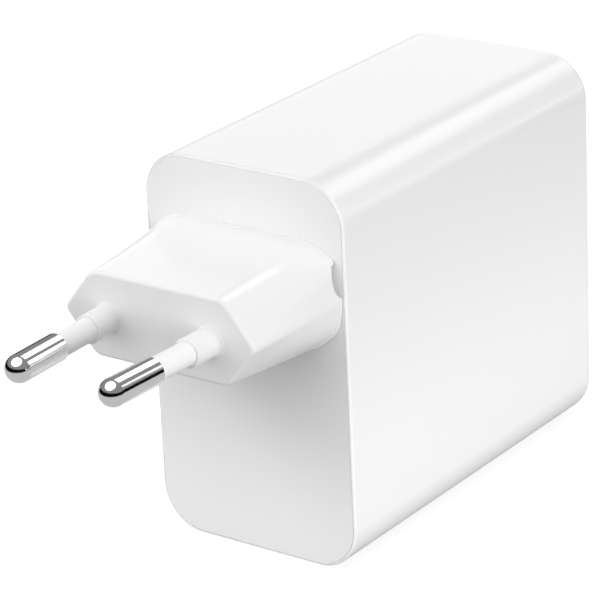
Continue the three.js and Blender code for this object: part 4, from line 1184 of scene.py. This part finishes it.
LAMPS = (
    # Lamps that light the front cover.
    Lamp("cover_fill", (0.08, -0.72, 0.5), FRONT_MIDDLE, 0.5, 0.7, 1.12, COVER),
    Lamp("cover_high", (-0.55, -0.5, 0.65), FRONT_MIDDLE, 0.4, 0.4, 3.1, COVER),
    Lamp("cover_low", (0, -0.06, 0.003), (0, FRONT_Y, 0.005), 0.12, 0.012, 0.75, COVER),
    Lamp("cover_right", (0.5, -0.3, 0.15), FRONT_MIDDLE, 0.2, 0.2, 1.2, COVER),
    # Lamps that light the sleeve, the plug head and the white sleeves on its pins.
    Lamp("left_fill", (-0.8, -0.05, 0.1), CASE_MIDDLE, 0.3, 0.2, 6.0, SLEEVE),
    Lamp("head_left", (-0.5, -0.1, 0.15), HEAD_MIDDLE, 0.2, 0.2, 1.4, HEAD),
    Lamp("rim_key", (0.5, -0.6, 0.12), SIDE_MIDDLE, 0.3, 0.2, 8.9, SLEEVE),
    Lamp("rim_top", (0, -0.6, 0.5), (0, FRONT_Y, 0.06), 0.3, 0.2, 0.7, SLEEVE),
    Lamp("side_high", (0.8, 0, 0.5), SIDE_MIDDLE, 0.4, 0.4, 0.88, SLEEVE),
    Lamp("side_strip", (0.062, 0, 0.012), (HALF_WIDTH, 0, 0.02), 0.2, 0.02, 1.01, SLEEVE),
    Lamp("rear_fill", (-0.1, 0.9, 0.3), REAR_MIDDLE, 0.4, 0.4, 3.7, SLEEVE),
    Lamp("head_side", (0.45, -0.1, 0.05), HEAD_MIDDLE, 0.3, 0.1, 7.4, HEAD),
    Lamp("head_top", (-0.6, -0.1, 0.6), HEAD_MIDDLE, 0.5, 0.5, 2.5, HEAD),
    Lamp("head_front", (0, -0.8, 0.06), HEAD_MIDDLE, 0.4, 0.3, 2.7, HEAD),
    Lamp("sleeve_fill", (0.4, -0.5, 0.35), HEAD_MIDDLE, 0.3, 0.3, 2.0, WHITE_SLEEVES),
    # Softboxes that only show in reflections, in the white pieces.
    Lamp("back_softbox", (0.184, 0.746, 0.64), (0, 0, 0), 0.5, 0.24, 2.0, CASE_AND_HEAD, True),
    Lamp("far_back_softbox", (-0.66, 0.9, 0.45), CASE_MIDDLE, 0.9, 0.5, 1.0, CASE_AND_HEAD, True),
    Lamp("right_softbox", (0.9, 0.5, 0.2), (0, 0, 0.04), 0.4, 0.3, 2.46, CASE, True),
    Lamp("low_right_softbox", (0.62, 0.746, 0.12), (0, 0, 0.02), 0.25, 0.15, 1.36, CASE, True),
    Lamp("front_softbox", (0.75, -0.7, 0.28), CASE_MIDDLE, 0.9, 0.4, 1.0, SLEEVE, True),
    Lamp("rim_glint", (-0.552, -0.371, 0.745), (0, FRONT_Y, 0.06), 0.4, 0.3, 5.6, SLEEVE, True),
    Lamp("edge_glint", (-0.08, 0.69, 0.7), HEAD_MIDDLE, 0.26, 0.5, 2.6, HEAD, True),
    Lamp("left_edge_glow", (-0.122, 0.118, 0.052), (-0.073, 0.07, 0.125), 0.3, 0.138, 0.6, SLEEVE, True),
    Lamp("head_edge_glow", (-0.075, 0.022, 0.02), HEAD_MIDDLE, 0.12, 0.06, 0.6, HEAD, True),
    Lamp("side_line", (0.152, 0.149, 0.07), CASE_MIDDLE, 0.3, 0.01, 2.5, SLEEVE, True),
    # Softboxes that only show in the bright pins.
    Lamp("pin_stripe", (-0.07, 0.671, 0.705), PIN_MIDDLE, 0.52, 0.4, 1.5, PINS, True),
    Lamp("pin_side_stripe", (0.552, 0.671, 0.417), PIN_MIDDLE, 0.22, 0.3, 1.5, PINS, True),
    Lamp("pin_dome_glint", (-0.06, -0.33, 0.75), HEAD_MIDDLE, 1.1, 1.1, 2.0, PINS, True, True),
)


def set_up_lamp(lamp, level):
    """Makes one lamp, which either lights pieces or only shows in their reflections."""
    data = bpy.data.lights.new(lamp.name, "AREA")
    data.shape = "ELLIPSE" if lamp.oval else "RECTANGLE"
    data.size = lamp.width
    data.size_y = lamp.height
    # An area lamp's power in watts is four times its radiance and area.
    data.energy = 4 * lamp.width * lamp.height * lamp.radiance * level
    made = put_in_scene(lamp.name, data)
    made.visible_camera = False
    made.visible_glossy = lamp.mirrored
    made.visible_diffuse = not lamp.mirrored
    made.location = lamp.place
    made.rotation_mode = "QUATERNION"
    made.rotation_quaternion = (Vector(lamp.target) - Vector(lamp.place)).to_track_quat("-Z", "Y")
    if lamp.lights:
        made.light_linking.receiver_collection = lit_pieces(lamp.lights)


def lit_pieces(names):
    """The collection of the pieces that a lamp lights, made once."""
    label = "lit_" + "_".join(names)
    if label not in bpy.data.collections:
        chosen = bpy.data.collections.new(label)
        for name in names:
            chosen.objects.link(bpy.data.objects[name])
    return bpy.data.collections[label]


def matt_material(name, tone, roughness):
    """A grey material without shine."""
    return new_material(name, {
        "Base Color": (tone, tone, tone, 1), "Roughness": roughness, "Specular IOR Level": 0.0,
    })


class AdapterBuildStage(bpy.types.Operator):
    """Builds the pale floor, the even dome light, the lamps and softboxes, the dark card and the camera"""

    bl_idname = "adapter.build_stage"
    bl_label = "Build Stage"

    def execute(self, context):
        stage = context.scene.adapter_stage
        self.floor(stage)
        self.dome(stage)
        for lamp in LAMPS:
            set_up_lamp(lamp, stage.lamp_level)
        self.dark_horizon()
        self.camera(stage)
        context.scene.view_settings.view_transform = "Standard"
        return {"FINISHED"}

    def floor(self, stage):
        """A pale floor that glows for the camera and, more weakly, in reflections."""
        def fill(work):
            bmesh.ops.create_circle(work, cap_ends=True, segments=STAGE_STEPS, radius=FLOOR_RADIUS)
        floor = new_piece("floor", fill)
        material = matt_material("pale_floor", stage.floor_bounce, FLOOR_ROUGHNESS)
        tree = material.node_tree
        inputs = tree.nodes["Principled BSDF"].inputs
        paths = tree.nodes.new("ShaderNodeLightPath").outputs
        seen = math_node(tree, "MULTIPLY", paths["Is Camera Ray"], stage.floor_white)
        mirrored = math_node(tree, "MULTIPLY", paths["Is Glossy Ray"], stage.floor_glow)
        tree.links.new(math_node(tree, "ADD", seen, mirrored), inputs["Emission Color"])
        inputs["Emission Strength"].default_value = 1.0
        floor.data.materials.append(material)

    def dome(self, stage):
        """Even light from all round, with a pale sky for the camera and a dimmer one in reflections."""
        world = bpy.data.worlds.new("studio")
        bpy.context.scene.world = world
        world.use_nodes = True
        tree = world.node_tree
        even = tree.nodes["Background"]
        even.inputs["Color"].default_value = (1.0, 1.0, 1.0, 1)
        even.inputs["Strength"].default_value = stage.dome
        paths = tree.nodes.new("ShaderNodeLightPath").outputs
        direct = math_node(tree, "MAXIMUM", paths["Is Camera Ray"], paths["Is Transmission Ray"])
        mixed = even.outputs[0]
        for mask, strength in ((direct, 1.0), (paths["Is Glossy Ray"], stage.reflected_sky)):
            shown = add_node(tree, "Background", {"Strength": strength})
            mix = add_node(tree, "MixShader", {"Fac": mask, 1: mixed, 2: shown.outputs[0]})
            mixed = mix.outputs[0]
        tree.links.new(mixed, tree.nodes["World Output"].inputs["Surface"])

    def dark_horizon(self):
        """A black wall round the stage and a ring on the floor before it, which only reflections show."""
        inner, outer = CARD_INNER_RADIUS, CARD_OUTER_RADIUS

        def fill(work):
            rings = [
                [work.verts.new((x, y, height)) for x, y in circle(radius, STAGE_STEPS)]
                for radius, height in ((inner, CARD_BASE), (outer, CARD_BASE), (outer, CARD_TOP))
            ]
            for near, far in zip(rings, rings[1:]):
                skin(work, near, far)
        card = new_piece("dark_horizon", fill)
        card.data.materials.append(matt_material("black_card", CARD_TONE, 1.0))
        for kind in ("camera", "diffuse", "shadow", "transmission"):
            setattr(card, f"visible_{kind}", False)

    def camera(self, stage):
        """A camera that looks at the target from an azimuth and an elevation, tilted by the roll."""
        azimuth, elevation, roll = stage.azimuth, stage.elevation, stage.roll
        level = math.cos(elevation)
        back = Vector((math.sin(azimuth) * level, -math.cos(azimuth) * level, math.sin(elevation)))
        level_right = Vector((math.cos(azimuth), math.sin(azimuth), 0))
        level_up = back.cross(level_right)
        right = level_right * math.cos(roll) + level_up * math.sin(roll)
        up = level_up * math.cos(roll) - level_right * math.sin(roll)
        data = bpy.data.cameras.new("camera")
        data.sensor_width = SENSOR_WIDTH_MM
        data.lens = stage.focal_length
        data.clip_start, data.clip_end = NEAREST, FARTHEST
        camera = put_in_scene("camera", data)
        turn = Matrix((right, up, back)).transposed().to_4x4()
        camera.matrix_world = Matrix.Translation(Vector(stage.target) + back * stage.distance) @ turn
        bpy.context.scene.camera = camera


# ---------------- panel and registration

OPERATORS = (
    AdapterBuildSleeve,
    AdapterBuildCover,
    AdapterBuildInletPins,
    AdapterBuildHead,
    AdapterBuildPins,
    AdapterBuildHeadBack,
    AdapterBuildSocket,
    AdapterDressInside,
    AdapterBuildStage,
)
GROUPS = {
    "adapter_case": AdapterCaseSizes,
    "adapter_boss": AdapterBossSizes,
    "adapter_head": AdapterHeadSizes,
    "adapter_pins": AdapterPinSizes,
    "adapter_port": AdapterPortSizes,
    "adapter_colours": AdapterColours,
    "adapter_stage": AdapterStageSettings,
}


class AdapterPanel(bpy.types.Panel):
    """Lists the adapter's sizes, colours and build steps"""

    bl_idname = "VIEW3D_PT_adapter"
    bl_label = "Power Adapter"
    bl_space_type = "VIEW_3D"
    bl_region_type = "UI"
    bl_category = "Adapter"

    def draw(self, context):
        for name, group in GROUPS.items():
            box = self.layout.box()
            box.label(text=group.bl_rna.description)
            settings = getattr(context.scene, name)
            for key in group.__annotations__:
                box.prop(settings, key)
        for operator in OPERATORS:
            self.layout.operator(operator.bl_idname)


CLASSES = (*GROUPS.values(), *OPERATORS, AdapterPanel)


def register():
    for cls in CLASSES:
        bpy.utils.register_class(cls)
    for name, group in GROUPS.items():
        setattr(bpy.types.Scene, name, PointerProperty(type=group))


def unregister():
    for name in GROUPS:
        delattr(bpy.types.Scene, name)
    for cls in reversed(CLASSES):
        bpy.utils.unregister_class(cls)


def main():
    register()
    bpy.ops.adapter.build_sleeve()
    bpy.ops.adapter.build_cover()
    bpy.ops.adapter.build_inlet_pins()
    bpy.ops.adapter.build_head()
    bpy.ops.adapter.build_pins()
    bpy.ops.adapter.build_head_back()
    bpy.ops.adapter.build_socket()
    bpy.ops.adapter.dress_inside()
    bpy.ops.adapter.build_stage()


if __name__ == "__main__":
    main()
